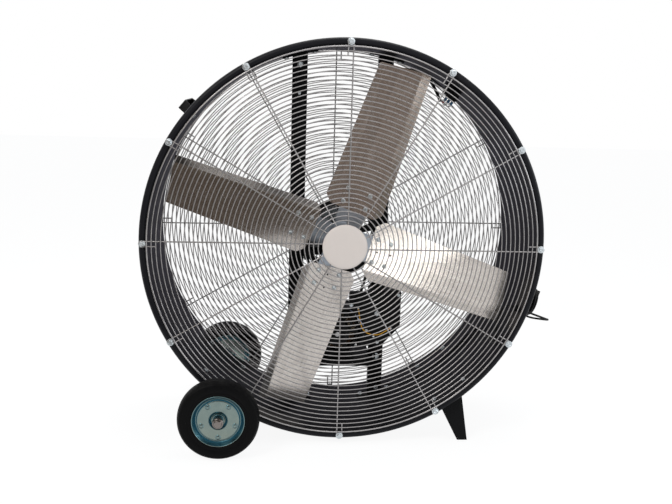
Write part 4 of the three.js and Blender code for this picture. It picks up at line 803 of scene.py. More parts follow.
class DRUMFAN_OT_guards(bpy.types.Operator):
    """Make both wire guards, their centre plates and their rim bolts"""
    bl_idname = "drumfan.guards"
    bl_label = "Guards"

    def execute(self, context):
        sizes = context.scene.fan_sizes
        path = fillet([(8, -230.3, 51), (8, -230.3, 623), (5.6, -230.3, 629.4), (-5.6, -230.3, 629.4), (-8, -230.3, 623),
                       (-8, -230.3, 581)], 6, 5, closed=False)
        for name, turn, nodes in (("front_wire_guard", 0.0, ["front_guard"]), ("rear_wire_guard", pi, ["rear_guard"])):
            mesh = bpy.data.meshes.new("spoke_line")
            mesh.from_pydata([p * MM for p in path], [(i, i + 1) for i in range(len(path) - 1)], [])
            line = bpy.data.objects.new("spoke_line", mesh)
            wires = run_tree(trees["guard"],
                             {"Rings": sizes.ring_count, "Ring Pitch": sizes.ring_pitch, "Ring Wire": sizes.ring_wire,
                              "Edge Wire": sizes.edge_wire, "Spokes": sizes.spoke_count, "Spoke Wire": sizes.spoke_wire,
                              "Spoke Line": line, "Finish": finishes["wire"]}, [line])
            wires.transform(Matrix.Translation(FAN_AXIS) @ Matrix.Rotation(turn, 4, "Z"))
            guard = as_object(name, wires, finishes["wire"], 60)
            placed(guard, "housing", *nodes)
        face = [(0, -241.6), (46, -241.5), (62, -241.1), (67.0, -240.3), (69.6, -238.8), (70.4, -236.8), (70.4, -235.2),
                (69.2, -235.2), (69.0, -237.2), (67.4, -238.8), (0, -239.3)]
        piece = Piece()
        piece.lathe(face, 96)
        plate = piece.made("centre_plate", finishes["plate"], 40)
        placed(plate, "housing", "front_guard_disc")
        piece = Piece()
        piece.lathe([(r, -y) for r, y in face], 96)
        for k in range(4):
            piece.bolt((38 * cos(k * pi / 2 + 0.78), 241.2, 38 * sin(k * pi / 2 + 0.78)), (0, 1, 0), 8, 4)
        placed(piece.made("rear_centre_plate", finishes["zinc"], 40), "housing")
        for name, side, nodes in (("front_rim_bolts", -1, ["guard_clip_%02d" % (k + 1) for k in range(12)]),
                                  ("rear_rim_bolts", 1, [])):
            piece = Piece()
            matrix = Matrix.Translation((RIM, -232.3, 0)) @ Matrix.Rotation(pi, 4, "X") @ Matrix.Rotation(0.3, 4, "Y")
            piece.lathe(fillet([(0, 0), (11.2, 0), (11.2, 1.9), (0, 3.0)], [0, 0.6, 0.9, 0], 3), 32, matrix)
            piece.lathe([(0, 1.5), (8.4, 1.5), (8.4, 6.2), (7.0, 7.6), (4.6, 7.6), (3.8, 6.9), (0, 6.7)], 6, matrix)
            piece.lathe([(0, -6), (3.4, -6), (3.4, 0.4), (0, 0.4)], 16, matrix)
            heads = round_axis(name, piece, 12, finishes["zinc"])
            if side > 0:
                heads.data.transform(Matrix.Translation(FAN_AXIS) @ Matrix.Rotation(pi, 4, "Z") @ Matrix.Translation(-FAN_AXIS))
            placed(heads, "housing", *nodes)
        return {"FINISHED"}


# ---------- rotor ----------

def blade_point(s, place_share):
    """A point of the blade's middle surface, as the frame has it, with a softened crease."""
    share = min(max((s - 182) / 400, 0), 1)
    pitch = radians(BLADE_PITCH - PITCH_FALL * share)
    half = 96 - 14 * (s - BLADE_ROOT) / BLADE_LENGTH
    chord = half / cos(pitch)
    bend = chord - STRIP_WIDTH
    place = place_share * chord
    camber = 3 * share * (1 - place_share * place_share)
    steep = radians(STRIP_BEND)
    if place >= -bend:
        t, y = place * cos(pitch), place * sin(pitch)
    else:
        beyond, soft, steps = -bend - place, 5.0, 6
        t, y = -bend * cos(pitch), -bend * sin(pitch)
        for k in range(steps):
            d = (k + 0.5) / steps * beyond
            angle = pitch + steep * min(d / soft, 1.0)
            t -= beyond / steps * cos(angle)
            y -= beyond / steps * sin(angle)
    return t, y + camber


class DRUMFAN_OT_blades(bpy.types.Operator):
    """Make the four pitched blades with their bolts, and near-black discs of painted shade for their rivet holes"""
    bl_idname = "drumfan.blades"
    bl_label = "Blades"

    def execute(self, context):
        reaches = [BLADE_ROOT + BLADE_LENGTH * (1 - cos(pi * k / 44)) / 2 for k in range(45)]
        shares = sorted([-1 + 2 * k / 40 for k in range(41)] + [-0.655, -0.64, -0.625, -0.61, -0.99, 0.99])
        for number in range(4):
            turn = aimed(BLADE_ANGLE + 90 * number)
            part = bmesh.new()
            own = part.verts.layers.float_vector.new("along")
            layers = []
            for face in (-1, 1):
                rows = []
                for s in reaches:
                    row = []
                    for share in shares:
                        cut = 1.0
                        if s < BLADE_ROOT + 24 and abs(share) > 0.7:
                            cut = 1 - (1 - min((s - BLADE_ROOT) / 24, 1)) * 0.24 * ((abs(share) - 0.7) / 0.3)
                        out = s - 7 * share * max((s - 540) / 42, 0)
                        tip_corner = max(abs(share) - 0.94, 0) / 0.06
                        if s > 560:
                            out -= 4.5 * tip_corner ** 2 * (s - 560) / 22
                        t, y = blade_point(s, share * cut)
                        dish = 0.35 * noise.noise(Vector((s * 0.012, share * 1.4, number * 7.0)))
                        vert = part.verts.new((out, BLADE_LEVEL + y + face * BLADE_SKIN + dish, t))
                        vert[own] = Vector((out * MM, t * MM, number * 0.37 + face * 0.01))
                        row.append(vert)
                    rows.append(row)
                layers.append(rows)
            high, wide = len(reaches), len(shares)
            for rows in layers:
                for i in range(high - 1):
                    for j in range(wide - 1):
                        part.faces.new((rows[i][j], rows[i + 1][j], rows[i + 1][j + 1], rows[i][j + 1]))
            rim = ([(0, j) for j in range(wide)] + [(i, wide - 1) for i in range(1, high)]
                   + [(high - 1, j) for j in range(wide - 2, -1, -1)] + [(i, 0) for i in range(high - 2, 0, -1)])
            for n, (i, j) in enumerate(rim):
                k, m = rim[(n + 1) % len(rim)]
                part.faces.new((layers[0][i][j], layers[0][k][m], layers[1][k][m], layers[1][i][j]))
            bmesh.ops.recalc_face_normals(part, faces=part.faces)
            part.transform(Matrix.Translation(FAN_AXIS) @ Matrix.Scale(MM, 4) @ turn)
            mesh = bpy.data.meshes.new("fan_blade_%d" % (number + 1))
            part.to_mesh(mesh)
            part.free()
            blade = as_object("fan_blade_%d" % (number + 1), mesh, finishes["blade"], 45)
            placed(blade, "fan_rotor", "blade_%d" % (number + 1))
        spots, painted_shade = [], Piece()
        for number in range(4):
            turn = aimed(BLADE_ANGLE + 90 * number)
            ahead = turn.to_3x3() @ Vector((0, -cos(radians(BLADE_PITCH)), sin(radians(BLADE_PITCH))))
            for s in (118, 163):
                for share in (-0.385, 0.385):
                    t, y = blade_point(s, share)
                    spots.append((turn @ Vector((s, BLADE_LEVEL + y, t)) + ahead * 1.0, ahead, 1.0))
                # Painted shade: a thin near-black disc on the blade's face stands in for each rivet hole.
                t, y = blade_point(s + 8, -0.02 if s < 130 else 0.02)
                painted_shade.lathe([(0, 0), (3.0, 0), (3.0, 0.25), (0, 0.25)], 20,
                           facing(turn @ Vector((s + 8, BLADE_LEVEL + y, t)) + ahead * BLADE_SKIN, ahead)
                           @ Matrix.Rotation(pi / 2, 4, "X"))
        placed(bolts("blade_bolts", spots, finishes["zinc"], 11.5, 7.0, 0.9), "fan_rotor")
        placed(bolts("blade_nuts", [(p - Vector(d) * 9.0, -Vector(d), 1.0) for p, d, _ in spots], finishes["zinc"], 11.5, 8.0,
                     0.9), "fan_rotor")
        placed(painted_shade.made("blade_rivet_holes", finishes["cast"]), "fan_rotor")
        return {"FINISHED"}


class DRUMFAN_OT_hub(bpy.types.Operator):
    """Make the blade hub with its four arms, and the fan shaft"""
    bl_idname = "drumfan.hub"
    bl_label = "Hub and Shaft"

    def execute(self, context):
        front = BLADE_LEVEL - 31
        piece = Piece()
        piece.lathe(fillet([(12.8, front), (37, front), (40, front + 3), (40, front + 62), (12.8, front + 62)],
                           [0.8, 2, 2, 1, 0.8], 3), 64)
        piece.lathe(fillet([(39, -92), (58, -92), (58, -86), (39, -86)], [0, 2, 2, 0], 3), 64)
        clear = 1.3 / cos(radians(BLADE_PITCH)) + 0.15
        for k in range(4):
            matrix = (aimed(BLADE_ANGLE + 90 * k) @ Matrix.Translation((0, BLADE_LEVEL, 0))
                      @ Matrix.Rotation(-radians(BLADE_PITCH), 4, "X") @ Matrix.Translation((0, clear, 0)))
            arm = fillet([(34, -38), (60, -46), (182, -46), (182, 46), (60, 46), (34, 38)], [0, 8, 9, 9, 8, 0], 4)
            piece.prism(arm, 0, 5, matrix, bevel=0.7)
            for side in (-1, 1):
                piece.prism([(38, 0), (112, 0), (104, 4), (46, 13), (38, 15)], side * 30 - 2, side * 30 + 2,
                            matrix @ Matrix.Translation((0, 5, 0)) @ Matrix.Rotation(-pi / 2, 4, "X"), bevel=0.6)
        hub = piece.made("blade_spider", finishes["hub"])
        placed(hub, "fan_rotor", "blade_hub")
        piece = Piece()
        piece.lathe(fillet([(0, -130), (12.5, -130), (12.5, 152), (0, 152)], [0, 1.2, 1.2, 0], 2), 48)
        piece.lathe([(0, -133.5), (6, -133.5), (6, -129), (0, -129)], 6)
        piece.block(-3.2, 3.2, -129, -66, 10, 14.6, 0.3)
        shaft = piece.made("main_shaft", finishes["steel"])
        placed(shaft, "fan_rotor", "fan_shaft")
        spots = [(Vector((40.3 * cos(a), -108, 40.3 * sin(a))), (cos(a), 0, sin(a)), 0.75) for a in (radians(26), radians(116))]
        placed(bolts("hub_set_screws", spots, finishes["zinc"], 10, 7), "fan_rotor")
        return {"FINISHED"}


def v_rim(radius, inner, soft=0.8):
    return fillet([(inner, BELT_LEVEL - 11), (radius, BELT_LEVEL - 11), (radius, BELT_LEVEL - 7.5),
                   (radius - 13, BELT_LEVEL - 3.3), (radius - 13, BELT_LEVEL + 3.3), (radius, BELT_LEVEL + 7.5),
                   (radius, BELT_LEVEL + 11), (inner, BELT_LEVEL + 11)], soft, 2)


class DRUMFAN_OT_drive(bpy.types.Operator):
    """Make both pulleys, the V-belt and the motor's shaft"""
    bl_idname = "drumfan.drive"
    bl_label = "Belt Drive"

    def execute(self, context):
        piece = Piece()
        piece.lathe(v_rim(127, 106), 96)
        piece.lathe(fillet([(12.9, BELT_LEVEL - 17), (27, BELT_LEVEL - 17), (29, BELT_LEVEL), (27, BELT_LEVEL + 17),
                            (12.9, BELT_LEVEL + 17)], 1.5, 2), 48)
        pulley = piece.made("large_pulley", finishes["cast"])
        placed(pulley, "fan_rotor", "fan_pulley")
        arm = Piece()
        arm.prism(fillet([(24, -13), (66, -9.5), (108, -13), (108, 13), (66, 9.5), (24, 13)], [0, 20, 0, 0, 20, 0], 4),
                  BELT_LEVEL - 4, BELT_LEVEL + 4, bevel=1.4)
        placed(round_axis("large_pulley_arms", arm, 5, finishes["cast"], first=-90), "fan_rotor")
        low = Matrix.Translation((0, 0, -MOTOR_DROP))
        piece = Piece()
        piece.lathe(v_rim(41, 22), 64, low)
        piece.lathe(fillet([(8.3, BELT_LEVEL - 11), (18, BELT_LEVEL - 11), (18, BELT_LEVEL - 5), (23, BELT_LEVEL - 5),
                            (23, BELT_LEVEL + 5), (18, BELT_LEVEL + 6), (18, BELT_LEVEL + 16), (8.3, BELT_LEVEL + 16)], 0.8, 2),
                    48, low)
        small = piece.made("small_pulley", finishes["cast"])
        placed(small, "motor_rotor", "motor_pulley")
        piece = Piece()
        piece.lathe(fillet([(0, -54), (8, -54), (8, 127), (0, 127)], [0, 1, 1, 0], 2), 32, low)
        shaft = piece.made("motor_axle", finishes["steel"])
        placed(shaft, "motor_rotor", "motor_shaft")
        lean = math.degrees(math.asin((127 - 41) / MOTOR_DROP))
        stations = ([(127, 0, -lean + (180 + 2 * lean) * k / 60) for k in range(61)]
                    + [(41, -MOTOR_DROP, 180 + lean + (180 - 2 * lean) * k / 40) for k in range(41)])
        part, rings = bmesh.new(), []
        for radius, height, angle in stations:
            ring = []
            for depth, half in fillet([(0.9, -6.3), (0.9, 6.3), (9.3, 3.7), (9.3, -3.7)], 0.8, 2):
                reach = radius - depth
                ring.append(part.verts.new((reach * cos(radians(angle)), BELT_LEVEL + half, height + reach * sin(radians(angle)))))
            rings.append(ring)
        for i, ring in enumerate(rings):
            after = rings[(i + 1) % len(rings)]
            for k in range(len(ring)):
                part.faces.new((ring[k], ring[(k + 1) % len(ring)], after[(k + 1) % len(ring)], after[k]))
        piece = Piece()
        piece.take(part)
        belt = piece.made("v_belt", finishes["belt"], 40)
        placed(belt, "housing", "drive_belt")
        return {"FINISHED"}


# ---------- rails, bearings and motor ----------

class DRUMFAN_OT_rails(bpy.types.Operator):
    """Make the two upright channel rails with their end flanges and bolts"""
    bl_idname = "drumfan.rails"
    bl_label = "Rails"

    def execute(self, context):
        inner, outer = [], []
        for x, node in ((RAILS[0], "left_rail"), (RAILS[1], "right_rail")):
            piece = Piece()
            section = fillet([(x - 25, 102), (x - 25, 70), (x + 25, 70), (x + 25, 102), (x + 22, 102), (x + 22, 73),
                              (x - 22, 73), (x - 22, 102)], [0.8, 4.5, 4.5, 0.8, 0.8, 1.6, 1.6, 0.8], 3)
            piece.prism(section, -1, 1, along="Z", bevel=0, fall=lambda px, level: level * math.sqrt(INNER_WALL ** 2 - px * px))
            for side in (1, -1):
                middle = math.degrees(math.atan2(side * math.sqrt(609.4 ** 2 - x * x), x))
                bent = arc(610.6, middle - 5.7, middle + 5.7, 16) + arc(606, middle + 5.7, middle - 5.7, 16)
                piece.prism(bent, 60, 112, bevel=0.7)
                for off in (-4.6, 4.6):
                    inner.append((on_wall(606, middle + off, 88), -on_wall(1, middle + off, 0), 1.0))
                    outer.append((on_wall(SHELL, middle + off, 88), on_wall(1, middle + off, 0), 1.0))
            rail = piece.made(node + "_channel", finishes["frame"])
            placed(rail, "housing", node)
        for x, z, size in ((-140, 557, 1.05), (-141, 462, 0.55), (148.3, -450, 1.25), (153, -567, 0.9)):
            inner.append(((x, 69.8, z), (0, -1, 0), size))
        placed(bolts("rail_bolts_inside", inner, finishes["zinc"], 13, 7), "housing")
        placed(bolts("rail_bolts_outside", outer, finishes["zinc"], 13, 6), "housing")
        return {"FINISHED"}


class DRUMFAN_OT_bearings(bpy.types.Operator):
    """Make the bearing deck and its two pillow blocks"""
    bl_idname = "drumfan.bearings"
    bl_label = "Bearings"

    def execute(self, context):
        piece = Piece()
        piece.block(-114.7, 122.7, -22, 158, -48, -42, 0.9)
        for x0 in (-114.7, 116.7):
            piece.prism(fillet([(50, -94), (122, -94), (158, -62), (158, -43), (-22, -43), (-22, -62), (16, -94)],
                               [6, 6, 4, 0, 0, 4, 6], 3), x0, x0 + 6, along="X", bevel=0.8)
        piece.block(-114.7, 122.7, -22, -17, -68, -42, 0.9)
        piece.block(-114.7, 122.7, 153, 158, -68, -42, 0.9)
        deck = piece.made("bearing_deck", finishes["frame"])
        placed(deck, "housing", "bearing_bracket")
        spots = []
        for y, node in ((0.0, "front_pillow_block"), (132.0, "rear_pillow_block")):
            foot = -41.7
            outline = ([(-65, foot), (65, foot), (65, foot + 12), (38, foot + 14)] + arc(30, -35, 215, 30)
                       + [(-38, foot + 14), (-65, foot + 12)])
            piece = Piece()
            piece.prism(fillet(outline, [2, 2, 3, 5] + [0] * 31 + [5, 3], 3), y - 18, y + 18, bevel=1.6, steps=3)
            for side in (-1, 1):
                ring = [(13.2, 18.6), (16.5, 18.6), (17.2, 17.6), (25, 17.4), (25, 16), (13.2, 16)]
                piece.lathe([(r, y + side * a) for r, a in ring], 48)
                spots.append(((side * 50, y, foot + 12), (0, 0, 1), 1.0))
            piece.lathe(fillet([(13.2, 18), (19.5, 18), (19.5, 27), (13.2, 27)], 0.7, 2), 40, Matrix.Translation((0, y, 0)), 1)
            piece.tube([(10, y, 27), (13, y, 33), (13, y, 37)], [3.2, 3.0, 2.0], 10, slot=1)
            block = piece.made(node + "_casting", [finishes["cast"], finishes["steel"]])
            placed(block, "housing", node)
        placed(bolts("bearing_bolts", spots, finishes["zinc"], 14, 8), "housing")
        webs = [((x, 86 + dy, -70), (d, 0, 0), 0.9) for x, d in ((-108.4, 1), (116.4, -1)) for dy in (-12, 12)]
        placed(bolts("deck_bolts", webs, finishes["zinc"], 12, 6), "housing")
        return {"FINISHED"}


class DRUMFAN_OT_motor(bpy.types.Operator):
    """Make the motor with its vented bell, windings, base and shelf"""
    bl_idname = "drumfan.motor"
    bl_label = "Motor"

    def execute(self, context):
        low = Matrix.Translation((0, 0, -MOTOR_DROP))
        piece = Piece()
        body = [(8.8, 16.3), (80, 16.3), (82.5, 18.5), (82.5, 26), (81, 27), (81, 137), (82.5, 138), (82.5, 146), (80, 148.3),
                (0, 148.3), (0, 128.3), (8.8, 128.3)]
        piece.lathe(body[::-1], 96, low)
        case = piece.made("motor_case", finishes["motor"])
        placed(case, "housing", "motor_frame")
        ribs = Piece()
        for k in range(14):
            ribs.prism([(80.6, -0.9), (83.0, -0.6), (83.0, 0.6), (80.6, 0.9)], 30, 134, aimed(13 * k - 91), bevel=0.2)
        ribs.bm.transform(low)
        placed(ribs.made("motor_fins", finishes["motor"]), "housing")
        piece = Piece()
        piece.lathe(fillet([(68, -14), (72.5, -14), (82.5, -6), (82.5, 16), (76.5, 16), (76.5, -4), (68, -8)],
                           [1, 3, 4, 0.5, 0, 2, 1], 4), 96, low)
        piece.lathe(fillet([(8.8, -20), (22, -20), (24, -14), (34, -14), (34, -8), (8.8, -8)], [1, 1.5, 2, 1, 1, 1], 3), 64, low)
        bell = piece.made("motor_front_bell", finishes["motor"])
        placed(bell, "housing", "motor_front_end_bell")
        rib = Piece()
        rib.prism(fillet([(31, -6.5), (50, -4.5), (71, -7.5), (71, 7.5), (50, 4.5), (31, 6.5)], [0, 15, 0, 0, 15, 0], 3),
                  -14.4, -7.6, bevel=1.2)
        placed(round_axis("motor_bell_ribs", rib, 6, finishes["motor"], (0, 0, -MOTOR_DROP), -60), "housing")
        piece = Piece()
        piece.lathe(fillet([(0, 148.6), (82.5, 148.6), (82.5, 168), (66.5, 182.6), (20, 182.6), (16, 190.6), (0, 190.6)],
                           [0, 0.5, 8, 8, 2, 3, 0], 4), 96, low)
        rear = piece.made("motor_rear_bell", finishes["motor"])
        placed(rear, "housing", "motor_rear_end_bell")
        # Painted shade: thin near-black plates on the rear bell stand in for its vent slots.
        slots = Piece()
        slots.prism(fillet([(36, -3), (60, -3), (60, 3), (36, 3)], 2.8, 3), 182.2, 183.0)
        placed(round_axis("motor_rear_slots", slots, 10, finishes["plastic"], (0, 0, -MOTOR_DROP)), "housing")
        self.windings(low)
        piece = Piece()
        top = -MOTOR_DROP - 100.7
        outline = ([(-75, top), (75, top), (75, top + 5), (52, top + 7), (46, top + 44)]
                   + arc(83, -44, -136, 20, (0, -MOTOR_DROP)) + [(-46, top + 44), (-52, top + 7), (-75, top + 5)])
        piece.prism(outline, 28, 136, bevel=0.9)
        base = piece.made("motor_cradle", finishes["motor"])
        placed(base, "housing", "motor_base")
        piece = Piece()
        shelf = -MOTOR_DROP - 101
        piece.block(-114.7, 122.7, -6, 154, shelf - 5, shelf, 1.0)
        piece.block(-114.7, 122.7, -6, -1, shelf - 26, shelf, 1.0)
        for x0 in (-114.7, 117.7):
            piece.block(x0, x0 + 5, -6, 154, shelf - 26, shelf, 1.0)
        tray = piece.made("motor_tray", finishes["frame"])
        placed(tray, "housing", "motor_shelf")
        spots = [((x, y, top + 5), (0, 0, 1), 0.9) for x in (-64, 64) for y in (48, 116)]
        spots += [((76 * cos(radians(a)), -10.5, -MOTOR_DROP + 76 * sin(radians(a))), (0, -1, 0), 0.62)
                  for a in (45, 135, 225, 315)]
        # Painted shade: these bolts take the near-black cast finish because they sit in the motor's shade, where the
        # other bolts are bright zinc.
        placed(bolts("motor_bolts", spots, finishes["cast"], 13, 7), "housing")
        return {"FINISHED"}

    def windings(self, low):
        """End turns of copper wire laced with cord, round the front of the stator."""
        part = bmesh.new()
        own = part.verts.layers.float_vector.new("wound")
        rings, around, about = [], 160, 20
        for i in range(around):
            a = 2 * pi * i / around
            lobe = 0.90 + 0.10 * cos(a * 18) + 0.05 * noise.noise(Vector((cos(a) * 6, sin(a) * 6, 1.0)))
            ring = []
            for k in range(about):
                b = 2 * pi * k / about
                rough = 1 + 0.05 * noise.noise(Vector((cos(a) * 14, sin(a) * 14, b * 1.5)))
                reach = 55 + 11.6 * lobe * rough * cos(b)
                vert = part.verts.new((reach * cos(a), 6.3 + 9.2 * lobe * rough * sin(b), reach * sin(a)))
                vert[own] = Vector((a * 55, k * 3.3, 0))
                ring.append(vert)
            rings.append(ring)
        for i in range(around):
            for k in range(about):
                part.faces.new((rings[i][k], rings[i][(k + 1) % about], rings[(i + 1) % around][(k + 1) % about],
                                rings[(i + 1) % around][k]))
        bmesh.ops.recalc_face_normals(part, faces=part.faces)
        part.transform(Matrix.Translation(FAN_AXIS) @ Matrix.Scale(MM, 4) @ low)
        mesh = bpy.data.meshes.new("copper_windings")
        part.to_mesh(mesh)
        part.free()
        copper = as_object("copper_windings", mesh, finishes["copper"], 60)
        placed(copper, "housing", "motor_winding")
        lace = Piece()
        loop = [(55 + 12.0 * cos(2 * pi * k / 16), 6.3 + 9.6 * sin(2 * pi * k / 16), 1.2 * sin(2 * pi * k / 16)) for k in range(16)]
        lace.tube(loop, 0.8, 6, closed=True)
        placed(round_axis("winding_lacing", lace, 18, finishes["lacing"], (0, 0, -MOTOR_DROP), 10), "housing")


class DRUMFAN_OT_wiring(bpy.types.Operator):
    """Make the wiring box, the switch, its knob, the cables and the cord gland"""
    bl_idname = "drumfan.wiring"
    bl_label = "Wiring"

    def execute(self, context):
        piece = Piece()
        edge = math.degrees(math.asin(62.8 / 85.5))
        cove = arc(86, edge, -math.degrees(math.atan2(49, 70.5)), 14, (0, -MOTOR_DROP))
        outline = [(112, -190), (112, -266), (60, -266)] + cove + [(155, -384), (217, -315.8), (217, -190)]
        piece.prism(fillet(outline, [5, 2, 2] + [0] * 15 + [8, 8, 5], 3), -17.5, 69.5, bevel=1.0)
        piece.prism(fillet([(41, -197.5), (113, -197.5), (113, -268), (60, -268), (48, -259), (41, -250)], [5, 0, 0, 2, 4, 4],
                           3), -17.4, 8, bevel=1.0)
        lid = ([(42, -198.5), (42, -249.5), (49, -259.5)] + arc(88.4, edge - 3, -32, 12, (0, -MOTOR_DROP))
               + [(76, -382.5), (153.5, -382.5), (157, -379), (157, -191.5), (114, -191.5), (114, -198.5)])
        piece.prism(fillet(lid, [4, 3, 0] + [0] * 13 + [3, 2, 2, 3, 3, 3], 3), -20.6, -17.0, bevel=0.9)
        piece.prism(fillet([(159, -191.5), (159, -377), (215.5, -315.2), (215.5, -191.5)], [3, 6, 6, 4], 3), -20.2, -17.0,
                    bevel=0.9)
        piece.prism(fillet([(167, -298), (207, -298), (207, -212), (167, -212)], 5, 4), -21.4, -19.6, bevel=0.7)
        box = piece.made("wiring_case", finishes["plastic"])
        placed(box, "housing", "wiring_box")
        spots = [((47.6, -20.6, -240.8), (0, -1, 0), 0.95), ((136.1, -20.6, -269.9), (0, -1, 0), 1.1),
                 ((101.1, -20.6, -331.1), (0, -1, 0), 0.75), ((126.3, -20.6, -351), (0, -1, 0), 0.5),
                 ((208, -20.2, -205), (0, -1, 0), 0.7), ((140, -20.2, -372), (0, -1, 0), 0.7)]
        placed(bolts("wiring_case_bolts", spots, finishes["zinc"], 11, 5), "housing")
        wires = Piece()
        wires.tube(smooth_line([(71, -19, -251), (71.5, -23, -256.4), (74, -24, -268), (77.5, -25.5, -288), (81.8, -26.5, -309),
                                (88, -27.5, -323), (96, -28, -331.6), (106, -28.4, -338), (117, -28.5, -341.5),
                                (129, -28.4, -343), (141, -28, -342.3), (154, -27, -338), (165, -26, -331.7), (176, -24, -325),
                                (184.5, -20.5, -319)], 4), 1.9, 8)
        wires.lathe([(0, 0), (4.6, 0), (4.6, 2.4), (3.0, 3.4), (0, 3.4)], 16,
                    Matrix.Translation((71, -19.6, -253)) @ Matrix.Rotation(pi, 4, "X"), 2)
        wires.tube(smooth_line([(46, -10, -262), (56, -25, -268), (70, -27, -284), (84, -27, -302), (90, -22, -312),
                                (92, -14, -318)], 5), 1.7, 8, slot=1)
        wires.lathe([(0, 0), (4.2, 0), (4.2, 9), (2.4, 12), (0, 12)], 16,
                    Matrix.Translation((184, -23, -322)) @ Matrix.Rotation(0.9, 4, "Y"), 2)
        placed(wires.made("wiring_case_wires", [finishes["yellow"], finishes["pale"], finishes["steel"]], 60), "housing")

        matrix = aimed(SWITCH_ANGLE)
        piece = Piece()
        top = 607.9
        piece.block(top - 30, top - 13, -42, 2, -31, 17, 1.6, matrix, steps=3)
        piece.block(top - 12.4, top + 1, -40.5, 0.5, -29.5, 22, 1.0, matrix)
        piece.block(top - 3, top + 1, -40.5, 0.5, 20, 29.5, 0.8, matrix)
        piece.lathe(fillet([(8, -9.6), (14, -9.6), (14, -6.3), (8, -6.3)], 0.6, 2), 6,
                    matrix @ Matrix.Translation((SHELL + 6.6, -20, 0)) @ Matrix.Rotation(pi / 2, 4, "Z"), 1)
        sockets = [(z, y) for y in (-38.5, -25) for z in (-24, -12, 0)]
        for z, y in sockets:
            piece.block(top - 36, top - 29, y - 3.5, y + 3.5, z - 4.2, z + 4.2, 0.6, matrix)
            piece.block(top - 51, top - 35, y - 2.6, y + 2.6, z - 3.3, z + 3.3, 1.2, matrix, 2)
        box = piece.made("switch_case", [finishes["plastic"], finishes["zinc"], finishes["blue"]])
        placed(box, "housing", "switch_box")
        leads = Piece()
        for (z, y), bow, slot in zip(sockets, (9, 12, 8, 6, 10, 5), (0, 0, 1, 0, 0, 0)):
            path = [(top - 50, y, z), (top - 54, y - 0.5, z), (top - 50 - bow, y - 2, z + 5), (top - 52 - bow * 0.4, -36, 5),
                    (top - 59, -36, 9), (top - 58, -35, 13)]
            leads.tube([matrix @ p for p in smooth_line(path, 5)], 1.7, 8, slot=slot)
        sleeve = [(588, 112, 126), (592, 84, 114), (590, 36, 98), (584, 16, 66), (568, -8, 35), (556, -27, 20), (549, -35, 11)]
        leads.tube([matrix @ p for p in smooth_line(sleeve, 7)], 5.0, 14, slot=2)
        placed(leads.made("switch_leads", [finishes["white"], finishes["red"], finishes["cord"]], 60), "housing")

        piece = Piece()
        spin = matrix @ Matrix.Translation((0, -20, 0)) @ Matrix.Rotation(-pi / 2, 4, "Z")
        grip = [(0, 615), (14.4, 615), (15, 615.8), (15, 618), (12.6, 621), (12.2, 629), (11, 631), (0, 631)]
        piece.lathe(grip, 48, spin)
        piece.lathe([(0, 596), (6, 596), (6, 617), (0, 617)], 24, spin)
        for k in range(12):
            piece.prism(fillet([(620, -1.3), (629.5, -1.1), (629.5, 1.1), (620, 1.3)], 0.5, 2), 11.4, 13.4,
                        matrix @ Matrix.Translation((0, -20, 0)) @ Matrix.Rotation(k * pi / 6, 4, "X"), bevel=0.3)
        piece.block(630.6, 631.4, -1.0, 1.0, 3, 10.5, 0.2, matrix @ Matrix.Translation((0, -20, 0)), 1)
        knob = piece.made("turn_knob", [finishes["plastic"], finishes["white"]])
        placed(knob, "switch_turn_knob", "switch_knob")
        self.cables()
        self.gland()
        return {"FINISHED"}

    def cables(self):
        """The fixed cables inside the drum, with their clips on the wall."""
        wall = 605.29
        run = [Vector((140, 40, -384.3)), Vector((140, 40, -460))]
        for reach, angle, y in ((wall - 30, -74, 62), (wall, -67, 75), (wall, -62, 75), (wall, -57, 75), (wall, -52, 75),
                                (wall, -47, 75), (wall, -42, 75), (wall, -37, 70), (wall, -33, 35), (wall, -33, -185),
                                (wall - 41, -25.5, -185), (wall - 42, -19.6, -185), (616.7, -19.6, -185)):
            run.append(on_wall(reach, angle, y))
        piece = Piece()
        piece.tube(fillet(run, 30, 5, closed=False), 3.3, 12)
        cable = piece.made("motor_flex", finishes["cord"], 60)
        placed(cable, "housing", "motor_cable")
        run = [on_wall(593.4, 54, 2.3), on_wall(593.4, 54, 26), on_wall(606.1, 60, 92), on_wall(604.1, 66, 122)]
        run += [Vector(p) for p in ((162, 124, 556), (148, 112, 480), (148, 96, 400), (148, 96, -262), (148, 56, -262))]
        piece = Piece()
        piece.tube(fillet(run, 21, 5, closed=False), 2.5, 12)
        cable = piece.made("switch_flex", finishes["cord"], 60)
        placed(cable, "housing", "switch_cable")
        clips, screws = Piece(), []
        for angle, y, size in ((-60.2, 75, 3.3), (-43.4, 75, 3.3), (61.8, 100, 2.5)):
            turn = Matrix.Rotation(-radians(angle), 4, "Y")
            strap = ([(y - size - 1.2, 610.4), (y - size - 1.2, 606.5)]
                     + [(y - (size + 1.2) * cos(pi * k / 8), 604.6 - (size - 1.4) * sin(pi * k / 8)) for k in range(9)])
            strap += [(y + size + 1.2, 609.0), (y + size + 11, 609.0), (y + size + 11, 610.4)]
            clips.prism([(reach, across) for across, reach in strap][::-1], -5, 5, turn, bevel=0.3, along="Z")
            screws.append((on_wall(608.8, angle, y + size + 6), -on_wall(1, angle, 0), 0.62))
        placed(clips.made("cable_clips", finishes["plastic"]), "housing")
        screws.append((on_wall(607, -33.5, -60), -on_wall(1, -33.5, 0), 0.55))
        placed(bolts("cable_clip_screws", screws, finishes["zinc"], 11, 5), "housing")

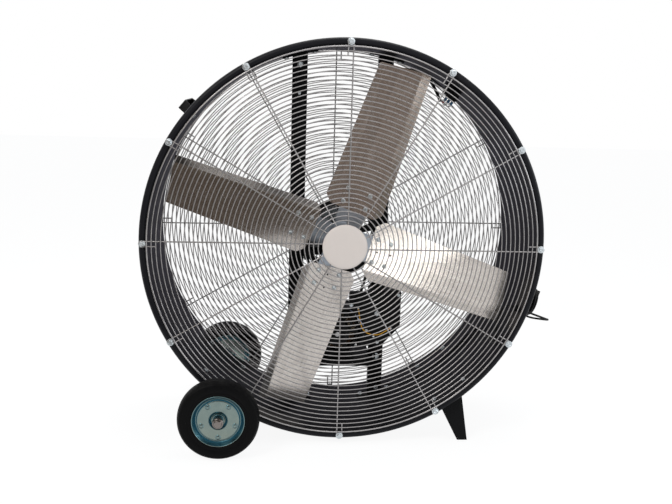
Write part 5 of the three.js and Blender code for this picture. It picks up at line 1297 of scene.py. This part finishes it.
    def gland(self):
        """The gland where the cord leaves the drum, and the hook that its coil hangs on."""
        matrix = aimed(GLAND_ANGLE) @ Matrix.Translation((0, GLAND_LEVEL, 0)) @ Matrix.Rotation(-pi / 2, 4, "Z")
        piece = Piece()
        piece.lathe([(3.7, 596), (8, 596), (8, 620), (3.7, 620)], 32, matrix)
        piece.lathe(fillet([(7.9, 600), (12, 600), (12, 609), (7.9, 609)], 0.6, 2), 6, matrix)
        piece.lathe(fillet([(7.9, 613.6), (13, 613.6), (13, 621), (7.9, 621)], 0.8, 2), 6, matrix)
        cone = [(3.7, 619), (12, 619), (12, 622), (10.6, 623)]
        for k in range(5):
            reach = 625 + 4.2 * k
            size = 10.4 - 0.8 * k
            cone += [(size, reach), (size, reach + 2.2), (size - 1.4, reach + 2.6), (size - 1.4, reach + 3.8)]
        cone += [(6.2, 646), (5.4, 647), (3.7, 647)]
        piece.lathe(cone, 32, matrix)
        gland = piece.made("cord_gland_nut", finishes["plastic"])
        placed(gland, "housing", "cord_gland")
        matrix = aimed(COIL_ANGLE)
        climb = 18.0
        piece = Piece()
        path = [(613.5, COIL_LEVEL, climb), (683.5, COIL_LEVEL, climb), (688.5, COIL_LEVEL, climb + 3),
                (691.5, COIL_LEVEL, climb + 9), (691.5, COIL_LEVEL, climb + 26)]
        piece.tube([matrix @ p for p in fillet(path, 6, 4, closed=False)], 5.0, 20)
        plate = fillet([(-106, climb - 16), (-74, climb - 16), (-74, climb + 16), (-106, climb + 16)], 5, 4)
        piece.prism(plate, 613.6, 618.6, matrix, bevel=0.8, along="X")
        hook = piece.made("coil_hook", finishes["frame"])
        placed(hook, "housing", "cord_hook")
        spots = [(matrix @ Vector((618.6, y, climb + z)), on_wall(1, COIL_ANGLE, 0), 0.55) for y, z in ((-101, -11), (-79, 11))]
        placed(bolts("coil_hook_bolts", spots, finishes["zinc"], 11, 5), "housing")


# ---------- wheels, legs and handle ----------

class DRUMFAN_OT_wheels(bpy.types.Operator):
    """Make the axle, both wheels, their caps and the axle brackets"""
    bl_idname = "drumfan.wheels"
    bl_label = "Wheels"

    def execute(self, context):
        x, z = WHEEL
        for name, side in (("front", -1), ("rear", 1)):
            body = name + "_wheel"
            turned = Matrix.Identity(4) if side < 0 else Matrix.Rotation(pi, 4, "Z")
            place = Matrix.Translation((x, side * WHEEL_LEVEL, z)) @ turned
            flank = [(82.4, -25.5), (84, -28.5), (87, -30), (90.5, -30.6), (92, -29.6), (94.5, -29.4), (96, -30.8), (104, -31),
                     (110.5, -30.2), (114, -28.6), (116.5, -28.9), (119, -26.8), (122.2, -23.2), (124.6, -18.6), (126, -13.5),
                     (126.8, -7), (127, 0)]
            piece = Piece()
            piece.lathe(flank + [(r, -y) for r, y in flank[::-1][1:]], 128, place)
            tyre = piece.made(name + "_tyre_rubber", finishes["tyre"], 50)
            placed(tyre, body, name + "_tyre")
            disc = [(8.6, -32), (13, -32), (14, -31), (14, -9), (16, -7.6), (22.5, -8.2), (25.6, -13.5), (27.4, -17.4),
                    (30, -18.6), (44, -18.2), (61, -17.2), (64.6, -16.4), (66.2, -13.2), (67.4, -10.6), (69.2, -10.4),
                    (71.5, -12.4), (77.4, -22.6), (79.6, -27.0), (81.2, -27.6), (82.3, -26.2), (82.1, -21)]
            disc = fillet(disc, 1.2, 2, closed=False)
            piece = Piece()
            piece.lathe(disc + [Vector((p.x, -p.y)) for p in disc[::-1]], 128, place)
            plate = piece.made(name + "_wheel_pressing", finishes["wheel"], 40)
            placed(plate, body, name + "_wheel_disc")
            rivet = Piece()
            around = Matrix.Rotation(pi, 4, "X")
            rivet.lathe([(0, -0.6), (4.6, -0.6), (4.9, 0.4), (4.2, 1.8), (2.6, 2.6), (0, 2.9)], 24,
                        Matrix.Translation((54, -17.5, 0)) @ around)
            rivet.lathe([(5.6, -0.8), (7.8, -0.6), (8.3, 0.3), (7.4, 1.0), (6.2, 0.5)], 24,
                        Matrix.Translation((54, -17.5, 0)) @ around)
            if side > 0:
                rivet.bm.transform(Matrix.Rotation(pi, 4, "Z"))
            placed(round_axis(name + "_wheel_rivets", rivet, 5, finishes["wheel"], (x, side * WHEEL_LEVEL, z), -126), body)
            piece = Piece()
            cap = [(8.4, 357.5), (16.6, 357.5), (17.5, 358.6), (17.5, 366.5), (16.8, 368.6), (14.6, 370), (13.2, 370.4),
                   (12.4, 371.8), (11.4, 373.4), (9, 374.2), (4, 374.5), (0, 374.5), (0, 368.4), (8.4, 368.4)]
            piece.lathe([(r, side * y) for r, y in cap], 48, Matrix.Translation((x, 0, z)))
            top = piece.made(name + "_hub_cap", finishes["cap"], 40)
            placed(top, "housing", name + "_axle_cap")
            self.bracket(side, name)
        piece = Piece()
        piece.lathe(fillet([(0, -AXLE_HALF), (8, -AXLE_HALF), (8, AXLE_HALF), (0, AXLE_HALF)], [0, 0.8, 0.8, 0], 2), 32,
                    Matrix.Translation((x, 0, z)))
        axle = piece.made("axle_bar", finishes["steel"])
        placed(axle, "housing", "axle")
        return {"FINISHED"}

    def bracket(self, side, name):
        """A saddle under the drum with a lug that carries the axle, and its bolts."""
        angle = math.degrees(math.atan2(WHEEL[1], WHEEL[0]))
        reach = math.hypot(*WHEEL)
        middle = side * BRACKET_LEVEL
        piece = Piece()
        saddle = arc(ON_DRUM, angle - 8, angle + 8, 20) + arc(ON_SADDLE, angle + 8, angle - 8, 20)
        piece.prism(saddle, middle - 30, middle + 30, bevel=0.8)
        lug = [(614.6, -34), (625, -32), (reach, -18)] + arc(18, -90, 90, 14, (reach, 0))[1:] + [(625, 32), (614.6, 34)]
        piece.prism(lug, middle - 4, middle + 4, aimed(angle), bevel=0.9)
        for end in (-1, 1):
            piece.lathe(fillet([(8.6, 0), (14, 0), (14, 7), (8.6, 7)], 0.8, 2), 32,
                        Matrix.Translation((WHEEL[0], middle + (4 if end > 0 else -11), WHEEL[1])))
        bracket = piece.made(name + "_axle_mount", finishes["frame"])
        placed(bracket, "housing", name + "_axle_bracket")
        inside = [(on_wall(IN_DRUM, a, middle), -on_wall(1, a, 0), 1.0) for a in (-135.3, -121.6)]
        outside = [(on_wall(ON_SADDLE, a, middle + d), on_wall(1, a, 0), 0.9) for a in (angle - 6.4, angle + 6.4)
                   for d in (-18, 18)]
        placed(bolts(name + "_axle_mount_bolts", inside + outside, finishes["zinc"], 13, 6), "housing")


class DRUMFAN_OT_legs(bpy.types.Operator):
    """Make the two folded legs with their saddles, bolts and foot pads"""
    bl_idname = "drumfan.legs"
    bl_label = "Legs"

    def execute(self, context):
        for name, side in (("front", -1), ("rear", 1)):
            piece = Piece()
            def between(depth, skin=0.0):
                a, b = side * (LEG_OUTSIDE - skin), side * (LEG_OUTSIDE - depth)
                return min(a, b), max(a, b)
            def on_drum(x0, x1, steps):
                return [(x, -math.sqrt(ON_DRUM ** 2 - x * x)) for x in [x0 + (x1 - x0) * k / steps for k in range(steps + 1)]]
            top = on_drum(403.6, 332, 8)
            web = [(430, -654), (404, -497), top[0]] + top[1:] + [(338, -541), (397, -654)]
            piece.prism(fillet(web, [1.5, 4] + [0] * 9 + [4, 1.5], 3), *between(3), bevel=0.6)
            piece.prism([(332.5, -515), (338, -541), (397, -654), (400.4, -654), (341.6, -541), (336, -512.5)],
                        *between(38, 0.4), bevel=0.7)
            piece.prism([(400.6, -464.2), (403.6, -461.8), (404, -497), (430, -654), (426.9, -654), (400.9, -497)],
                        *between(38, 0.4), bevel=0.7)
            piece.prism([(397, -654), (430, -654), (429.4, -651), (395.5, -651)], *between(38), bevel=0.6)
            saddle = arc(ON_DRUM, -61.5, -45.1, 20) + arc(617.1, -45.1, -61.5, 20)
            piece.prism(saddle, *between(38), bevel=0.7)
            leg = piece.made(name + "_leg_channel", finishes["frame"])
            placed(leg, "housing", name + "_leg")
            y = side * LEG_LEVEL
            spots = [(on_wall(IN_DRUM, a, y), -on_wall(1, a, 0), 1.0) for a in (-47.7, -58.6)]
            spots.append((on_wall(617.0, -47.0, y), on_wall(1, -47.0, 0), 0.8))
            placed(bolts(name + "_leg_bolts", spots, finishes["zinc"], 13, 6), "housing")
        return {"FINISHED"}


class DRUMFAN_OT_handle(bpy.types.Operator):
    """Make the bent flat-bar handle with its bolts"""
    bl_idname = "drumfan.handle"
    bl_label = "Handle"

    def execute(self, context):
        low, high, end, side = ON_DRUM, 663.0, 188.0, 148.0
        outer = [(low, -end), (low + 4, -end), (low + 4, -side - 6), (high, -side + 14), (high, side - 14), (low + 4, side + 6),
                 (low + 4, end), (low, end)]
        inner = [(low, side + 3), (high - 4, side - 17), (high - 4, -side + 17), (low, -side - 3)]
        piece = Piece()
        piece.prism(fillet(outer + inner, [0.8, 0.8, 8, 14, 14, 8, 0.8, 0.8, 11, 10, 10, 11], 5), -16, 16, aimed(HANDLE_ANGLE),
                    bevel=1.3, along="Z", steps=3)
        grip = piece.made("carry_handle", finishes["frame"])
        placed(grip, "housing", "handle")
        spots = [(on_wall(617.4, HANDLE_ANGLE, y), on_wall(1, HANDLE_ANGLE, 0), 1.0) for y in (-168, 168)]
        spots += [(on_wall(IN_DRUM, HANDLE_ANGLE, y), -on_wall(1, HANDLE_ANGLE, 0), 0.9) for y in (-168, 168)]
        placed(bolts("handle_bolts", spots, finishes["zinc"], 13, 6), "housing")
        return {"FINISHED"}


# ---------- studio ----------

class DRUMFAN_OT_studio(bpy.types.Operator):
    """Make the floor, the plain background and the soft lamps"""
    bl_idname = "drumfan.studio"
    bl_label = "Studio"

    def execute(self, context):
        scene = context.scene
        scene.view_settings.view_transform = "Standard"
        tone = tuple(scene.fan_looks.backdrop)
        piece = bmesh.new()
        corners = [piece.verts.new((sx * 14, sy * 14, 0)) for sx, sy in ((-1, -1), (1, -1), (1, 1), (-1, 1))]
        piece.faces.new(corners)
        mesh = bpy.data.meshes.new("floor")
        piece.to_mesh(mesh)
        piece.free()
        material = bpy.data.materials.new("studio_floor")
        material.use_nodes = True
        tree = material.node_tree
        shader = tree.nodes["Principled BSDF"]
        shader.inputs["Base Color"].default_value = (*[0.85 * c for c in tone], 1)
        shader.inputs["Roughness"].default_value = 0.7
        seen = self.seen(tree)
        glow = add_node(tree, "ShaderNodeEmission", {"Color": (*tone, 1), "Strength": 1.06}).outputs[0]
        share = add_node(tree, "ShaderNodeMath", {0: seen, 1: 0.86}, operation="MULTIPLY").outputs[0]
        mix = add_node(tree, "ShaderNodeMixShader", {0: share, 1: shader.outputs[0], 2: glow})
        tree.links.new(mix.outputs[0], tree.nodes["Material Output"].inputs[0])
        as_object("floor", mesh, material)
        world = bpy.data.worlds.new("studio_world")
        scene.world = world
        world.use_nodes = True
        tree = world.node_tree
        tree.nodes.clear()
        lit = add_node(tree, "ShaderNodeBackground", {"Color": (0.90, 0.95, 1.0, 1), "Strength": 0.55}).outputs[0]
        plain = add_node(tree, "ShaderNodeBackground", {"Color": (*tone, 1), "Strength": 1.0}).outputs[0]
        both = add_node(tree, "ShaderNodeMixShader", {0: self.seen(tree), 1: lit, 2: plain}).outputs[0]
        add_node(tree, "ShaderNodeOutputWorld", {0: both})
        self.card("left_card", (-1.45, -1.95, 1.5), (0.50, 0.87, 0), (2.4, 2.3), (0.21, 0.165, 0.14))
        self.card("side_card", (-2.35, -0.8, 1.6), (1, 0.1, 0), (1.9, 2.4), (0.25, 0.235, 0.20))
        self.card("front_card", (-0.62, -0.80, 0.30), (0, 0, 1), (1.1, 0.9), (0.11, 0.088, 0.07))
        self.card("rear_card", (0.35, 1.7, 0.35), (0, -1, 0), (2.6, 1.9), (0.16, 0.155, 0.19))
        for name, place, size, power, colour in (
                ("key_lamp", (-2.2, -2.6, 3.2), 1.4, 70.0, (1.0, 0.98, 0.95)),
                ("fill_lamp", (1.25, -2.5, 1.9), 0.4, 2.5, (1.0, 0.98, 0.94)),
                ("side_lamp", (3.0, -0.8, 1.5), 1.4, 22.0, (0.86, 0.92, 1.0)),
                ("top_lamp", (0.3, 0.4, 3.4), 1.6, 35.0, (1.0, 1.0, 1.0))):
            data = bpy.data.lights.new(name, "AREA")
            data.size, data.energy, data.color = size, power, colour
            lamp = bpy.data.objects.new(name, data)
            lamp.location = place
            lamp.rotation_euler = (Vector((0, 0, 0.6)) - Vector(place)).to_track_quat("-Z", "Y").to_euler()
            scene.collection.objects.link(lamp)
        return {"FINISHED"}

    def seen(self, tree):
        """One for rays of the camera, of reflections and through glass."""
        rays = add_node(tree, "ShaderNodeLightPath").outputs
        either = add_node(tree, "ShaderNodeMath", {0: rays["Is Camera Ray"], 1: rays["Is Glossy Ray"]},
                          operation="MAXIMUM").outputs[0]
        return add_node(tree, "ShaderNodeMath", {0: either, 1: rays["Is Transmission Ray"]}, operation="MAXIMUM").outputs[0]

    def card(self, name, place, facing_to, size, colour):
        """A plain dim card beside the camera that only reflections show."""
        turn = Vector(facing_to).to_track_quat("Z", "Y").to_matrix().to_4x4()
        corners = [Matrix.Translation(place) @ turn @ Vector((sx * size[0] / 2, sy * size[1] / 2, 0))
                   for sx, sy in ((-1, -1), (1, -1), (1, 1), (-1, 1))]
        mesh = bpy.data.meshes.new(name)
        mesh.from_pydata(corners, [], [(0, 1, 2, 3)])
        material = bpy.data.materials.new(name)
        material.use_nodes = True
        tree = material.node_tree
        tree.nodes.clear()
        tone = add_node(tree, "ShaderNodeEmission", {"Color": (*colour, 1), "Strength": 1.0}).outputs[0]
        add_node(tree, "ShaderNodeOutputMaterial", {0: tone})
        card = as_object(name, mesh, material)
        card.visible_camera = card.visible_diffuse = card.visible_shadow = card.visible_transmission = False


class DRUMFAN_PT_panel(bpy.types.Panel):
    """Steps that build the drum fan"""
    bl_label = "Drum Fan"
    bl_idname = "DRUMFAN_PT_panel"
    bl_space_type = "VIEW_3D"
    bl_region_type = "UI"
    bl_category = "Drum Fan"

    def draw(self, context):
        for group in (context.scene.fan_sizes, context.scene.fan_looks):
            box = self.layout.box()
            for key in group.__annotations__:
                box.prop(group, key)
        for step in STEPS:
            self.layout.operator(step.bl_idname)


STEPS = [DRUMFAN_OT_camera, DRUMFAN_OT_finishes, DRUMFAN_OT_power_cord, DRUMFAN_OT_drum, DRUMFAN_OT_guards, DRUMFAN_OT_blades,
         DRUMFAN_OT_hub, DRUMFAN_OT_drive, DRUMFAN_OT_rails, DRUMFAN_OT_bearings, DRUMFAN_OT_motor, DRUMFAN_OT_wiring,
         DRUMFAN_OT_wheels, DRUMFAN_OT_legs, DRUMFAN_OT_handle, DRUMFAN_OT_studio]
CLASSES = [FanSizes, FanLooks, *STEPS, DRUMFAN_PT_panel]


def register():
    for one in CLASSES:
        bpy.utils.register_class(one)
    bpy.types.Scene.fan_sizes = bpy.props.PointerProperty(type=FanSizes)
    bpy.types.Scene.fan_looks = bpy.props.PointerProperty(type=FanLooks)


def unregister():
    del bpy.types.Scene.fan_looks
    del bpy.types.Scene.fan_sizes
    for one in reversed(CLASSES):
        bpy.utils.unregister_class(one)


def main():
    register()
    for step in STEPS:
        group, name = step.bl_idname.split(".")
        getattr(getattr(bpy.ops, group), name)()


if __name__ == "__main__":
    main()
